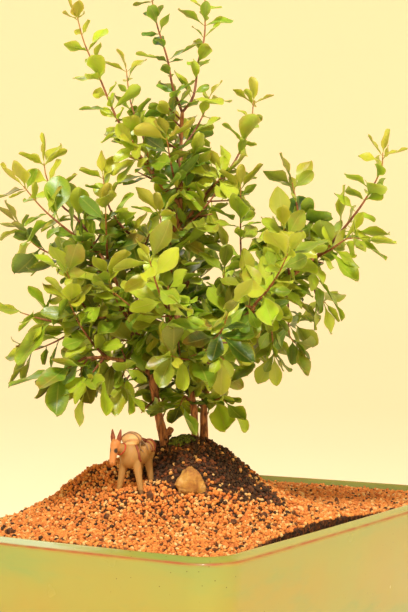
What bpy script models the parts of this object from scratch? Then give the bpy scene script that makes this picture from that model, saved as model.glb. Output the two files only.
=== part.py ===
"""Pomegranate bonsai in a glazed rectangular pot, with a stone and a small pack-animal ornament.

Metres, +Z up. The origin is on the table, under the middle of the pot. +X runs along the pot's
long side and +Y along its short side. Run with: blender --background --python part.py
"""
import math
import random

import bmesh
import bpy
from mathutils import Matrix, Vector
from mathutils.bvhtree import BVHTree

MM = 0.001
UP = Vector((0, 0, 1))
GAP = 0.3 * MM  # clearance between pieces that touch

# Pot: outer size at the rim, and the heights that its section is drawn from
POT_LENGTH = 350 * MM
POT_WIDTH = 200 * MM
POT_HEIGHT = 90 * MM
RIM_RADIUS = 22 * MM
RIM_WIDTH = 7 * MM
RIM_FALL = 3 * MM  # the rim's flat top slopes down to its outer edge
SIDE_BOW = 2 * MM  # the middle of each side stands out by this much
WALL_TAPER = 13 * MM  # how far the wall leans in from rim to base
FOOT_HEIGHT = 11 * MM
FLOOR_TOP = 21 * MM
FOOT_SIZE = (52 * MM, 24 * MM)
FOOT_MIDDLE = (128 * MM, 69 * MM)  # from the pot's middle
FOOT_CHAMFER = 2 * MM
FOOT_ROOTED = 2 * MM  # how far a foot reaches up into the floor
DRAIN_RADIUS = 9 * MM
DRAIN_SPACING = 150 * MM
DRAIN_SIDES = 16
CORNER_STEPS = 4
SIDE_STEPS = 4
INNER_TOP = RIM_WIDTH + 0.5 * MM  # set in from the rim's outer edge
INNER_FLOOR = WALL_TAPER + 7 * MM
POT_SECTION = (  # inset from the rim's outer edge, height and corner radius: up the outside, down the inside
    (WALL_TAPER + 3 * MM, FOOT_HEIGHT, 13 * MM),
    (WALL_TAPER, FOOT_HEIGHT + 3 * MM, 15 * MM),
    (5 * MM, 48 * MM, 19 * MM),
    (0.7 * MM, POT_HEIGHT - RIM_FALL - 4 * MM, RIM_RADIUS),
    (0, POT_HEIGHT - RIM_FALL, RIM_RADIUS),
    (RIM_WIDTH - 1 * MM, POT_HEIGHT, RIM_RADIUS - 5 * MM),
    (INNER_TOP, POT_HEIGHT - 1.2 * MM, RIM_RADIUS - 6 * MM),
    (INNER_FLOOR, FLOOR_TOP, RIM_RADIUS - 14 * MM),
)

# The plant's own axes: the side that faces the viewer is its front
FRONT_TURN = math.radians(58)
ACROSS = Vector((math.cos(FRONT_TURN), -math.sin(FRONT_TURN), 0))
AWAY = Vector((math.sin(FRONT_TURN), math.cos(FRONT_TURN), 0))
PLANT_FOOT = Vector((-49 * MM, -1 * MM, POT_HEIGHT))

# Soil: a mound of gravel round the stems, above and below the rim's level
SOIL_EDGE = -5 * MM
MOUND_PARTS = (  # middle across and away, spread, height, sharpness
    (0, 0, 82 * MM, 27 * MM, 2),
    (0, 0, 41 * MM, 24 * MM, 3),
    (-58 * MM, 12 * MM, 28 * MM, 17 * MM, 2),
)
SOIL_CELLS = (29, 16)
SOIL_INSET = 9.4 * MM  # from the rim's outer edge to the gravel's edge
SOIL_CORNER = RIM_RADIUS - 6 * MM
GRAVEL_RELIEF = 1.0 * MM
GRAVEL_SEED = 7

# Root crown: the joined foot of the stems, buried to its shoulder in a plain round hole
CROWN_RADIUS = 19 * MM
CROWN_DEPTH = 24 * MM
CROWN_SIDES = 16
HOLE_SIDES = 20
CROWN_PROFILE = (  # share of the radius, and height over the mound
    (0, 1 * MM),
    (0.6, 0),
    (0.9, -3 * MM),
    (1, -7 * MM),
    (0.94, -CROWN_DEPTH),
    (0, -CROWN_DEPTH),
)

# Stone and ornament, placed on the mound: across, away
STONE_PLACE = (1 * MM, -43 * MM)
STONE_SIZE = (21 * MM, 16 * MM, 22 * MM)
STONE_SUNK = 8 * MM
STONE_ROUGHNESS = (0.82, 1.08)
STONE_NARROWING = 0.35  # how much narrower its top is than its middle
STONE_SEED = 12
STONE_CLEARANCE = 1.6 * GAP  # its pocket's corners lie closer than its faces
ANIMAL_PLACE = (-31 * MM, -34 * MM)
TERRACE_LEVEL = 21 * MM  # flat spot pressed into the mound for the ornament, above the rim
TERRACE_RADIUS = 20 * MM
TERRACE_SHARPNESS = 4
HOOF_SUNK = 3 * MM

# Ornament: its masses in its own frame, in mm: side, towards the tail, up
ANIMAL_TURN = math.radians(-24)  # how far its head swings from straight at the viewer to the left
HOOF_STEPS = ((-7.9, -9), (8.6, -9), (-5, 13), (5, 13))
HIP_HEIGHT = 18
ANIMAL_SCALE = 0.96
LEG_RADII = (1.4, 2.7)  # at the hoof and at the hip
LEG_CLEARANCE = 1.4 * GAP / MM
LEG_SIDES = 7
HIP_NARROWING = (0.5, 0.9)  # a hip's place as a share of its hoof's, sideways and lengthways
BARREL = ((0, 2, 21.5), (6.8, 13, 6.8))  # middle and half sizes
BODY_BALLS = (
    ((0, -8, 21.5), (6.9, 6, 8)),
    ((0, 12, 22), (6.6, 6, 7)),
    ((-5, -18, 28.4), (2.9, 3.3, 3.0)),
    ((-5.2, -21.8, 18.2), (2.0, 2.1, 2.1)),
    ((-1, -4, 31), (6.2, 5.4, 4.4)),
    ((-6, 6, 25.5), (3, 6, 5)),
    ((6, 6, 25.5), (3, 6, 5)),
)
NECK = ((-1, -9.5, 23), (-4.6, -17, 27.6), 4.6, 2.8)  # start, end and the radii there
HEAD = ((-5, -18.5, 29), (-5.2, -22, 18), 2.8, 1.8)
TAIL = ((0, 17, 25), (0, 20.5, 18), 1.4, 0.8)
EAR_MIDDLE = -5  # the ears stand either side of this
EAR_ROOT = (1.7, -17.5, 29.5)
EAR_TIP = (2.9, -16.5, 38)
EAR_RADII = (1.3, 0.4)
EAR_SIDES = 5
BALL_STEPS = (9, 5)
ANIMAL_ROOM = ((-59, -68, 15), (-14, -10, 64))  # box of air kept round it, across, away and up in mm

# Woody routes: (across, away, up) in mm from the plant's foot, then the radii at the two ends in mm
WOOD_ROUTES = {
    "left_stem": ([(-12, -3, 25), (-15, -4, 47), (-18, -5, 61), (-20, -8, 73), (-23, -12, 89),
                   (-28, -14, 106), (-33, -16, 121), (-39, -17, 136)], 3.4, 1.5),
    "leader": ([(4, 1, 25), (4, 2, 54), (3, 3, 68), (0, 4, 86), (-3, 5, 106), (-8, 4, 128),
                (-12, 3, 149), (-9, 2, 176), (-5, 2, 193), (-5, 1, 221), (-4, 0, 250)], 2.5, 1.1),
    "right_stem": ([(9, 5, 25), (9.5, 5, 53), (9.5, 6, 68), (12, 5, 85), (18, 2, 115), (29, 0, 127),
                    (41, -3, 136), (59, -9, 146), (77, -13, 159), (87, -15, 168)], 2.8, 1.1),
    "right_fork": ([(41, -3, 136), (49, -8, 145), (53, -10, 155), (62, -13, 174)], 1.4, 1.0),
    "left_branch": ([(-39, -17, 136), (-47, -15, 150), (-54, -13, 162), (-61, -12, 175)], 1.5, 1.0),
    "inner_branch": ([(-12, 3, 149), (-19, -2, 156), (-29, -8, 165), (-36, -12, 174)], 1.4, 1.0),
    "high_left_branch": ([(-5, 2, 193), (-12, -2, 200), (-19, -6, 207), (-32, -11, 225)], 1.4, 1.0),
    "high_right_branch": ([(-9, 2, 176), (3, 6, 189), (13, 9, 203)], 1.4, 1.0),
    "far_left_branch": ([(-33, -16, 121), (-45, -19, 124), (-60, -23, 122), (-73, -25, 119)], 1.5, 1.0),
    "low_left_branch": ([(-23, -12, 89), (-37, -21, 96), (-50, -33, 99), (-61, -40, 99)], 1.6, 1.0),
    "front_branch": ([(-3, 5, 106), (-6, -13, 112), (-9, -33, 118), (-11, -52, 126)], 1.6, 1.0),
    "front_right_branch": ([(0, 4, 86), (6, -15, 96), (12, -35, 104), (16, -50, 111)], 1.6, 1.0),
    "right_front_branch": ([(18, 2, 115), (26, -19, 119), (35, -40, 124), (39, -58, 131)], 1.5, 1.0),
    "back_branch": ([(-8, 4, 128), (-4, 25, 136), (-1, 44, 145), (0, 62, 157)], 1.6, 1.0),
    "back_right_branch": ([(13, 5, 85), (23, 25, 101), (34, 44, 112), (41, 60, 124)], 1.6, 1.0),
    "back_left_branch": ([(-28, -14, 106), (-37, 10, 114), (-49, 33, 121), (-60, 50, 130)], 1.5, 1.0),
    "cut_stub": ([(-15, -4, 47), (-12.5, -7, 52), (-10.5, -9, 55)], 2.5, 2.2),
}

# Leafy shoots whose course the front shows: (across, away, up) in mm, first point on the wood
DRAWN_SHOOTS = {
    "upper_left": [(-32, -11, 225), (-38, -12, 235), (-45, -15, 247), (-55, -19, 271), (-63, -21, 289),
                   (-67, -23, 304)],
    "inner_left": [(-25, -8, 216), (-27, -1, 231), (-33, 3, 247), (-37, 5, 261), (-39, 6, 278)],
    "top_left": [(-4, 0, 250), (-10, -3, 266), (-13, -5, 282), (-20, -9, 305), (-24, -12, 328)],
    "top_right": [(-4, 0, 250), (3, 4, 261), (6, 8, 283), (10, 10, 301), (10, 12, 332)],
    "right_centre": [(13, 9, 203), (24, 12, 214), (32, 14, 227), (39, 17, 245), (41, 18, 260)],
    "thin_upright": [(29, 0, 127), (33, -4, 146), (32, -6, 170), (32, -10, 203)],
    "fork_tip": [(62, -13, 174), (67, -15, 182), (66, -16, 191), (63, -17, 205)],
    "right_tip": [(87, -15, 168), (99, -20, 183), (108, -23, 196), (116, -25, 212), (117, -26, 222)],
    "right_hanging": [(77, -13, 159), (86, -25, 164), (95, -31, 170), (102, -35, 170)],
    "low_right": [(41, -3, 136), (49, -12, 126), (51, -15, 111), (52, -17, 99)],
    "right_twig": [(59, -9, 146), (62, 4, 130), (63, 10, 112), (68, 13, 106)],
    "right_end_twig": [(77, -13, 159), (77, -6, 146), (79, -2, 136), (85, 2, 132)],
    "left_tip": [(-61, -12, 175), (-70, -12, 185), (-78, -13, 192), (-86, -15, 207), (-88, -15, 217)],
    "left_middle_tip": [(-54, -13, 162), (-64, -21, 169), (-77, -28, 179), (-88, -32, 189),
                        (-98, -35, 201)],
    "left_outer_tip": [(-47, -15, 150), (-63, -8, 156), (-82, 2, 161), (-97, 9, 169), (-107, 12, 181)],
    "inner_tip": [(-36, -12, 174), (-42, -13, 180), (-49, -16, 192), (-52, -17, 209)],
    "far_left": [(-73, -25, 119), (-83, -29, 121), (-91, -31, 123), (-100, -33, 126)],
    "far_left_low": [(-60, -23, 122), (-74, -15, 112), (-86, -10, 106), (-97, -6, 102)],
    "low_left_outer": [(-61, -40, 99), (-68, -44, 95), (-77, -46, 89)],
    "low_left_middle": [(-50, -33, 99), (-55, -44, 92), (-59, -52, 86)],
    "low_left_inner": [(-37, -21, 96), (-39, -33, 88), (-40, -40, 81)],
    "low_middle_left": [(-19, -8, 73), (-24, -21, 70), (-28, -30, 66)],
    "low_middle": [(3, 3, 68), (-2, -13, 75), (-5, -25, 70)],
    "low_middle_right": [(11, 6, 68), (19, -6, 73), (23, -13, 71)],
}

# Shoots that fill the crown: wood, place along it (0 to 1), turn round it, rise (degrees), length in mm
FILLING_SHOOTS = {
    "fill_front_end": ("front_branch", 1.0, 200, 35, 42),
    "fill_front_left": ("front_branch", 0.62, 250, 20, 44),
    "fill_front_right_end": ("front_right_branch", 1.0, 170, 12, 40),
    "fill_right_front_end": ("right_front_branch", 1.0, 150, 30, 44),
    "fill_right_front_side": ("right_front_branch", 0.6, 110, 45, 44),
    "fill_back_end": ("back_branch", 1.0, 0, 40, 46),
    "fill_back_left": ("back_branch", 0.6, 300, 30, 48),
    "fill_back_right_end": ("back_right_branch", 1.0, 30, 30, 46),
    "fill_back_right_side": ("back_right_branch", 0.62, 70, 5, 44),
    "fill_back_left_end": ("back_left_branch", 1.0, 320, 35, 46),
    "fill_back_left_side": ("back_left_branch", 0.6, 350, 10, 44),
    "fill_middle_front": ("leader", 0.56, 190, 40, 46),
    "fill_middle_back": ("leader", 0.60, 20, 45, 52),
    "fill_middle_right": ("leader", 0.66, 95, 40, 50),
    "fill_high_front": ("leader", 0.76, 200, 48, 44),
    "fill_high_back": ("leader", 0.80, 350, 50, 46),
    "fill_high_right": ("leader", 0.90, 60, 50, 40),
    "fill_right_stem_front": ("right_stem", 0.50, 170, 50, 44),
    "fill_right_stem_back": ("right_stem", 0.72, 30, 45, 44),
    "fill_right_stem_end": ("right_stem", 0.82, 190, 35, 40),
    "fill_left_stem_front": ("left_stem", 0.80, 215, 38, 44),
    "fill_left_stem_back": ("left_stem", 0.90, 330, 40, 48),
    "fill_left_branch_front": ("left_branch", 0.45, 180, 48, 42),
    "fill_far_left_front": ("far_left_branch", 0.6, 210, 35, 40),
    "fill_low_left_up": ("low_left_branch", 0.7, 240, 45, 42),
    "fill_front_low": ("front_right_branch", 0.55, 210, -8, 38),
}

# Leaves: opposite pairs, each pair turned a quarter from the last
LEAF_LENGTH = 29 * MM
LEAF_WIDTH_SHARE = 0.5
LEAF_THICKNESS = 0.7 * MM
LEAF_ROWS = ((0.42, 0.46), (0.79, 0.40))  # share of the length, half width as a share of the width
LEAF_FOLD_AT = 0.58  # share of the length where the midrib lies deepest
LEAF_SPREAD = 58  # degrees between a leaf and its stem
PAIR_SPACING = 17 * MM
FIRST_PAIR = 9 * MM
TIP_SPACE = 2 * MM
SHOOT_RADII = (1.0 * MM, 0.8 * MM)
LEAF_TRIES = 7
LEAF_SEED = 41
SPREAD_DRAW = 12  # degrees either way
SWING_DRAW = 14
ROLL_DRAW = 38
LIFT_DRAW = (-0.12, 0.22)
LENGTH_DRAW = (0.82, 1.14)
DROOP_DRAW = (0.04, 0.26)
FOLD_DRAW = (0.15, 0.5)
YOUNG_FROM = 0.55  # leaves past this share of a shoot are younger
YOUNG_LENGTH = 90 * MM  # a shorter shoot has less young growth
YOUNG_SHRINK = 0.42
YOUNG_CLOSING = 0.35
TIP_YOUTH = 0.8
TRY_SHRINK = 0.03
STALK_SHARE = 0.16  # of a leaf's length, where leaves of one pair may meet
LEAST_SKY = 0.25

# Filling shoots curl upwards in a few steps; every shoot starts clear of the wood that carries it
FILLING_STEPS = 3
FILLING_CURL = 9  # degrees more at each step
TRIM_FROM = 0.5 * MM
TRIM_STEP = 0.2 * MM
TRIM_TEST = 3 * MM
ROUTE_SPACING = 2 * MM
WOOD_SIDES = 8
STEM_SIDES = 6
THICK_WOOD = 2.1  # radius in mm past which a stem gets more sides

# Colours as red, green, blue
GLAZE = (0.62, 0.60, 0.24)
GRAVEL = (0.80, 0.38, 0.10)
STONE = (0.72, 0.44, 0.20)
CLAY = (0.75, 0.50, 0.26)
BARK = (0.30, 0.13, 0.06)
LEAF_GREENS = ((0.30, 0.40, 0.05), (0.18, 0.31, 0.04), (0.10, 0.20, 0.03), (0.42, 0.46, 0.07))


def clear_scene():
    """Remove every object, so that the script gives the same result each run."""
    for obj in list(bpy.data.objects):
        bpy.data.objects.remove(obj)


def make_collection(name):
    """Return a collection of this name, linked to the scene."""
    collection = bpy.data.collections.get(name) or bpy.data.collections.new(name)
    if collection.name not in bpy.context.scene.collection.children:
        bpy.context.scene.collection.children.link(collection)
    return collection


def make_material(name, colour, roughness):
    """Return a Principled material with one colour and roughness."""
    material = bpy.data.materials.new(name)
    material.use_nodes = True
    shader = material.node_tree.nodes["Principled BSDF"]
    shader.inputs["Base Color"].default_value = (*colour, 1)
    shader.inputs["Roughness"].default_value = roughness
    shader.inputs["Metallic"].default_value = 0
    return material


def add_object(name, mesh, collection, material=None):
    """Link a mesh as an object, with its material."""
    obj = bpy.data.objects.new(name, mesh)
    collection.objects.link(obj)
    if material:
        mesh.materials.clear()
        mesh.materials.append(material)
    return obj


def mesh_from_bmesh(name, bm):
    """Turn a bmesh into a mesh whose faces point out, and free it."""
    bmesh.ops.recalc_face_normals(bm, faces=bm.faces[:])
    mesh = bpy.data.meshes.new(name)
    bm.to_mesh(mesh)
    bm.free()
    return mesh


def mesh_from_faces(name, points, faces):
    """Turn points and faces into a mesh whose faces point out."""
    bm = bmesh.new()
    corners = [bm.verts.new(point) for point in points]
    for face in faces:
        bm.faces.new([corners[index] for index in face])
    return mesh_from_bmesh(name, bm)


def smooth_round_pieces(obj, angle):
    """Shade an object smooth, with sharp edges past an angle in degrees."""
    obj.data.shade_smooth()
    obj.data.set_sharp_from_angle(angle=math.radians(angle))


def apply_modifiers(obj):
    """Replace an object's mesh with its evaluated mesh, and drop its modifiers."""
    graph = bpy.context.evaluated_depsgraph_get()
    mesh = bpy.data.meshes.new_from_object(obj.evaluated_get(graph))
    obj.modifiers.clear()
    obj.data = mesh


def combine(obj, tools, operation):
    """Join a collection's objects to an object, or cut it with them, and remove them."""
    boolean = obj.modifiers.new(operation.title(), "BOOLEAN")
    boolean.operation = operation
    boolean.operand_type = "COLLECTION"
    boolean.collection = tools
    boolean.solver = "EXACT"
    apply_modifiers(obj)
    for tool in list(tools.objects):
        bpy.data.objects.remove(tool)


def spot(across, away, up):
    """Return the place of a point given in mm along the plant's own axes."""
    return PLANT_FOOT + MM * (across * ACROSS + away * AWAY + up * UP)


def along_plant_axes(x, y):
    """Return how far across and away a place in the pot lies from the plant's foot."""
    offset = Vector((x, y, 0)) - PLANT_FOOT
    return offset.dot(ACROSS), offset.dot(AWAY)


def soil_height(x, y):
    """Return the height of the soil's surface, without its gravel relief."""
    across, away = along_plant_axes(x, y)
    height = POT_HEIGHT + SOIL_EDGE
    for middle_across, middle_away, spread, rise, sharpness in MOUND_PARTS:
        distance = math.hypot(across - middle_across, away - middle_away)
        height += rise * math.exp(-((distance / spread) ** sharpness))
    distance = math.hypot(across - ANIMAL_PLACE[0], away - ANIMAL_PLACE[1])
    level = math.exp(-((distance / TERRACE_RADIUS) ** TERRACE_SHARPNESS))
    return height + (POT_HEIGHT + TERRACE_LEVEL - height) * level


def bowed_outline(half_length, half_width, radius):
    """Return a rounded rectangle whose sides bow outwards, as a list of (x, y)."""
    outline = []
    corners = ((1, 1, 0), (-1, 1, 90), (-1, -1, 180), (1, -1, 270))
    for index, (sign_x, sign_y, start) in enumerate(corners):
        middle = Vector((sign_x * (half_length - radius), sign_y * (half_width - radius)))
        for step in range(CORNER_STEPS + 1):
            turn = math.radians(start + 90 * step / CORNER_STEPS)
            outline.append(middle + radius * Vector((math.cos(turn), math.sin(turn))))
        next_x, next_y, next_start = corners[(index + 1) % len(corners)]
        next_middle = Vector((next_x * (half_length - radius), next_y * (half_width - radius)))
        turn = math.radians(next_start)
        side_end = next_middle + radius * Vector((math.cos(turn), math.sin(turn)))
        side_start = outline[-1]
        for step in range(1, SIDE_STEPS):
            outline.append(side_start.lerp(side_end, step / SIDE_STEPS))
    bowed = []
    for point in outline:
        bow_x = SIDE_BOW / half_length * (1 - (point.y / half_width) ** 2)
        bow_y = SIDE_BOW / half_width * (1 - (point.x / half_length) ** 2)
        bowed.append(Vector((point.x * (1 + bow_x), point.y * (1 + bow_y))))
    return bowed


def loft(name, rings):
    """Return a closed mesh through rings of equal count, with flat ends."""
    bm = bmesh.new()
    loops = [[bm.verts.new(point) for point in ring] for ring in rings]
    for lower, upper in zip(loops, loops[1:]):
        for index in range(len(lower)):
            after = (index + 1) % len(lower)
            bm.faces.new((lower[index], lower[after], upper[after], upper[index]))
    bm.faces.new(loops[0])
    bm.faces.new(loops[-1])
    return mesh_from_bmesh(name, bm)


def pot_ring(inset, height, radius):
    """Return one ring of the pot's section, set in from the rim's outer edge."""
    outline = bowed_outline(POT_LENGTH / 2 - inset, POT_WIDTH / 2 - inset, radius)
    return [Vector((point.x, point.y, height)) for point in outline]


def add_cutter(name, bm, tools):
    """Add a cutter that a Boolean will use and remove."""
    cutter = add_object(name, mesh_from_bmesh(name, bm), tools)
    cutter.hide_render = True
    cutter.display_type = "WIRE"
    return cutter


def add_foot(sign_x, sign_y, tools):
    """Add one low foot, chamfered where it meets the table."""
    height = FOOT_HEIGHT + FOOT_ROOTED
    bm = bmesh.new()
    bmesh.ops.create_cube(bm, size=1, matrix=Matrix.Diagonal((*FOOT_SIZE, height, 1)))
    place = (sign_x * FOOT_MIDDLE[0], sign_y * FOOT_MIDDLE[1], height / 2)
    bmesh.ops.translate(bm, verts=bm.verts, vec=place)
    low = [edge for edge in bm.edges if all(vert.co.z < MM for vert in edge.verts)]
    bmesh.ops.bevel(bm, geom=low, offset=FOOT_CHAMFER, segments=1, affect="EDGES")
    add_object("foot", mesh_from_bmesh("foot", bm), tools)


def make_pot(parts, tools):
    """Glazed pot: bowed walls, a flat sloping rim, four low feet and two drain holes."""
    rings = [pot_ring(*section) for section in POT_SECTION]
    glaze = make_material("glaze", GLAZE, 0.25)
    pot = add_object("pot", loft("pot", rings), parts, glaze)
    for sign_x in (-1, 1):
        for sign_y in (-1, 1):
            add_foot(sign_x, sign_y, tools)
    combine(pot, tools, "UNION")
    for sign in (-1, 1):
        bm = bmesh.new()
        bmesh.ops.create_cone(bm, cap_ends=True, segments=DRAIN_SIDES, radius1=DRAIN_RADIUS,
                              radius2=DRAIN_RADIUS, depth=FLOOR_TOP)
        bmesh.ops.translate(bm, verts=bm.verts, vec=(sign * DRAIN_SPACING / 2, 0, FLOOR_TOP * 0.75))
        add_cutter("drain", bm, tools)
    combine(pot, tools, "DIFFERENCE")
    smooth_round_pieces(pot, 35)


def make_soil(parts, tools, stone_cutter):
    """Mound of gravel filling the pot, with plain holes for the root crown, the hooves and the stone."""
    rng = random.Random(GRAVEL_SEED)
    half_x = POT_LENGTH / 2 - SOIL_INSET
    half_y = POT_WIDTH / 2 - SOIL_INSET
    radius = SOIL_CORNER
    bm = bmesh.new()
    bmesh.ops.create_grid(bm, x_segments=SOIL_CELLS[0], y_segments=SOIL_CELLS[1], size=1)
    for vert in bm.verts:
        x = vert.co.x * half_x
        y = vert.co.y * half_y
        over_x = max(0, abs(x) - (half_x - radius))
        over_y = max(0, abs(y) - (half_y - radius))
        if over_x > 0 and over_y > 0:
            reach = max(over_x, over_y) / math.hypot(over_x, over_y)
            x = math.copysign(half_x - radius + over_x * reach, x)
            y = math.copysign(half_y - radius + over_y * reach, y)
        at_edge = max(abs(vert.co.x), abs(vert.co.y)) > 0.999
        bump = 0 if at_edge else rng.uniform(-GRAVEL_RELIEF, GRAVEL_RELIEF)
        vert.co = Vector((x, y, soil_height(x, y) + bump))
    rim_edges = [edge for edge in bm.edges if edge.is_boundary]
    skirt = bmesh.ops.extrude_edge_only(bm, edges=rim_edges)["geom"]
    lean = (INNER_FLOOR - INNER_TOP - GAP) / (POT_HEIGHT - FLOOR_TOP)
    for vert in [item for item in skirt if isinstance(item, bmesh.types.BMVert)]:
        drop = vert.co.z - (FLOOR_TOP + GAP)
        inward = lean * drop
        vert.co.x -= math.copysign(inward, vert.co.x) * min(1, abs(vert.co.x) / (half_x - radius))
        vert.co.y -= math.copysign(inward, vert.co.y) * min(1, abs(vert.co.y) / (half_y - radius))
        vert.co.z = FLOOR_TOP + GAP
    bottom = [edge for edge in bm.edges if edge.is_boundary]
    bmesh.ops.contextual_create(bm, geom=bottom)
    soil = add_object("soil", mesh_from_bmesh("soil", bm), parts, make_material("gravel", GRAVEL, 0.95))
    top = soil_height(PLANT_FOOT.x, PLANT_FOOT.y)
    hole = bmesh.new()
    hole_depth = CROWN_DEPTH + GAP
    bmesh.ops.create_cone(hole, cap_ends=True, segments=HOLE_SIDES, radius1=CROWN_RADIUS + GAP,
                          radius2=CROWN_RADIUS + GAP, depth=2 * hole_depth)
    bmesh.ops.translate(hole, verts=hole.verts, vec=(PLANT_FOOT.x, PLANT_FOOT.y, top))
    add_cutter("crown_hole", hole, tools)
    for hoof, hip in animal_legs():
        down = (hoof - hip).normalized()
        hole_radii = [radius + LEG_CLEARANCE for radius in LEG_RADII]
        add_limb(tools, hoof + GAP * down, hip, *hole_radii)
    tools.objects.link(stone_cutter)
    combine(soil, tools, "DIFFERENCE")


def stone_mesh(grow):
    """Angular stone from a rough sphere, grown by a clearance for its cutter."""
    rng = random.Random(STONE_SEED)
    x, y = on_mound(*STONE_PLACE)
    size = Vector(STONE_SIZE) / 2
    bm = bmesh.new()
    bmesh.ops.create_icosphere(bm, subdivisions=2, radius=1)
    turn = Matrix.Rotation(-FRONT_TURN, 3, "Z")
    place = Vector((x, y, soil_height(x, y) - STONE_SUNK + size.z))
    for vert in bm.verts:
        rough = rng.uniform(*STONE_ROUGHNESS)
        peak = 1 - STONE_NARROWING * max(0, vert.co.z)
        local = Vector((vert.co.x * size.x * peak, vert.co.y * size.y * peak, vert.co.z * size.z)) * rough
        vert.co = place + turn @ (local + grow * local.normalized())
    return mesh_from_bmesh("stone", bm)


def make_stone(parts):
    """Add the tan stone, half buried in front of the stems, and return the cutter for its pocket."""
    add_object("stone", stone_mesh(0), parts, make_material("stone", STONE, 0.85))
    cutter = bpy.data.objects.new("stone_pocket", stone_mesh(STONE_CLEARANCE))
    cutter.hide_render = True
    cutter.display_type = "WIRE"
    return cutter


def on_mound(across, away):
    """Return the x and y of a place given in metres along the plant's own axes."""
    place = PLANT_FOOT + across * ACROSS + away * AWAY
    return place.x, place.y


def animal_place(side, tailward, up):
    """Return the place of a point of the ornament, given in mm in its own frame."""
    x, y = on_mound(*ANIMAL_PLACE)
    tail = AWAY * math.cos(ANIMAL_TURN) - ACROSS * math.sin(ANIMAL_TURN)
    flank = ACROSS * math.cos(ANIMAL_TURN) + AWAY * math.sin(ANIMAL_TURN)
    ground = Vector((x, y, soil_height(x, y)))
    return ground + ANIMAL_SCALE * MM * (side * flank + tailward * tail + up * UP)


def animal_legs():
    """Return each leg's two ends: the hoof is sunk a little into the gravel below it."""
    legs = []
    for side, tailward in HOOF_STEPS:
        foot = animal_place(side, tailward, 0)
        hoof = Vector((foot.x, foot.y, soil_height(foot.x, foot.y) - HOOF_SUNK))
        hip = animal_place(side * HIP_NARROWING[0], tailward * HIP_NARROWING[1], HIP_HEIGHT)
        legs.append((hoof, hip))
    return legs


def ball_mesh(name, middle, half_sizes):
    """Return one rounded mass of the ornament."""
    bm = bmesh.new()
    bmesh.ops.create_uvsphere(bm, u_segments=BALL_STEPS[0], v_segments=BALL_STEPS[1], radius=1)
    for vert in bm.verts:
        side, tailward, up = (a + b * c for a, b, c in zip(middle, half_sizes, vert.co))
        vert.co = animal_place(side, tailward, up)
    return mesh_from_bmesh(name, bm)


def add_limb(tools, start, end, radius_start, radius_end, sides=LEG_SIDES):
    """Add a tapered limb between two places, its radii in mm."""
    axis = end - start
    bm = bmesh.new()
    bmesh.ops.create_cone(bm, cap_ends=True, segments=sides, radius1=radius_start * MM,
                          radius2=radius_end * MM, depth=axis.length)
    turn = UP.rotation_difference(axis).to_matrix().to_4x4()
    bmesh.ops.transform(bm, verts=bm.verts, matrix=Matrix.Translation((start + end) / 2) @ turn)
    add_object("limb", mesh_from_bmesh("limb", bm), tools)


def make_animal(parts, tools):
    """Small clay pack animal, standing with its head down and a load on its back."""
    clay = make_material("clay", CLAY, 0.7)
    body = add_object("pack_animal", ball_mesh("pack_animal", *BARREL), parts, clay)
    for middle, half_sizes in BODY_BALLS:
        add_object("mass", ball_mesh("mass", middle, half_sizes), tools)
    for hoof, hip in animal_legs():
        add_limb(tools, hoof, hip, *LEG_RADII)
    for start, end, radius_start, radius_end in (NECK, HEAD, TAIL):
        add_limb(tools, animal_place(*start), animal_place(*end), radius_start, radius_end)
    for sign in (-1, 1):
        root, tip = (animal_place(EAR_MIDDLE + sign * side, tailward, up)
                     for side, tailward, up in (EAR_ROOT, EAR_TIP))
        add_limb(tools, root, tip, *EAR_RADII, EAR_SIDES)
    combine(body, tools, "UNION")
    smooth_round_pieces(body, 50)


def route_points(points):
    """Return a route's points in metres."""
    return [spot(*point) for point in points]


def route_lengths(points):
    """Return the running length at each point of a route."""
    lengths = [0.0]
    for before, after in zip(points, points[1:]):
        lengths.append(lengths[-1] + (after - before).length)
    return lengths


def route_place(points, distance):
    """Return the point and the direction at a running length along a route."""
    lengths = route_lengths(points)
    for index in range(len(points) - 1):
        last = index == len(points) - 2
        if distance <= lengths[index + 1] or last:
            direction = (points[index + 1] - points[index]).normalized()
            return points[index] + direction * (distance - lengths[index]), direction
    return points[-1], UP


def prism_faces(points, radii, sides):
    """Return the points and faces of a tube round a route, for clearance tests."""
    rings = []
    for index, point in enumerate(points):
        before = points[max(index - 1, 0)]
        after = points[min(index + 1, len(points) - 1)]
        direction = (after - before).normalized()
        first = direction.orthogonal().normalized()
        second = direction.cross(first)
        rings.append([point + radii[index] * (math.cos(turn) * first + math.sin(turn) * second)
                      for turn in (2 * math.pi * side / sides for side in range(sides))])
    corners = [corner for ring in rings for corner in ring]
    faces = [list(range(sides)), list(range(len(corners) - sides, len(corners)))]
    for row in range(len(rings) - 1):
        for side in range(sides):
            after = (side + 1) % sides
            faces.append([row * sides + side, row * sides + after, (row + 1) * sides + after,
                          (row + 1) * sides + side])
    return corners, faces


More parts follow.
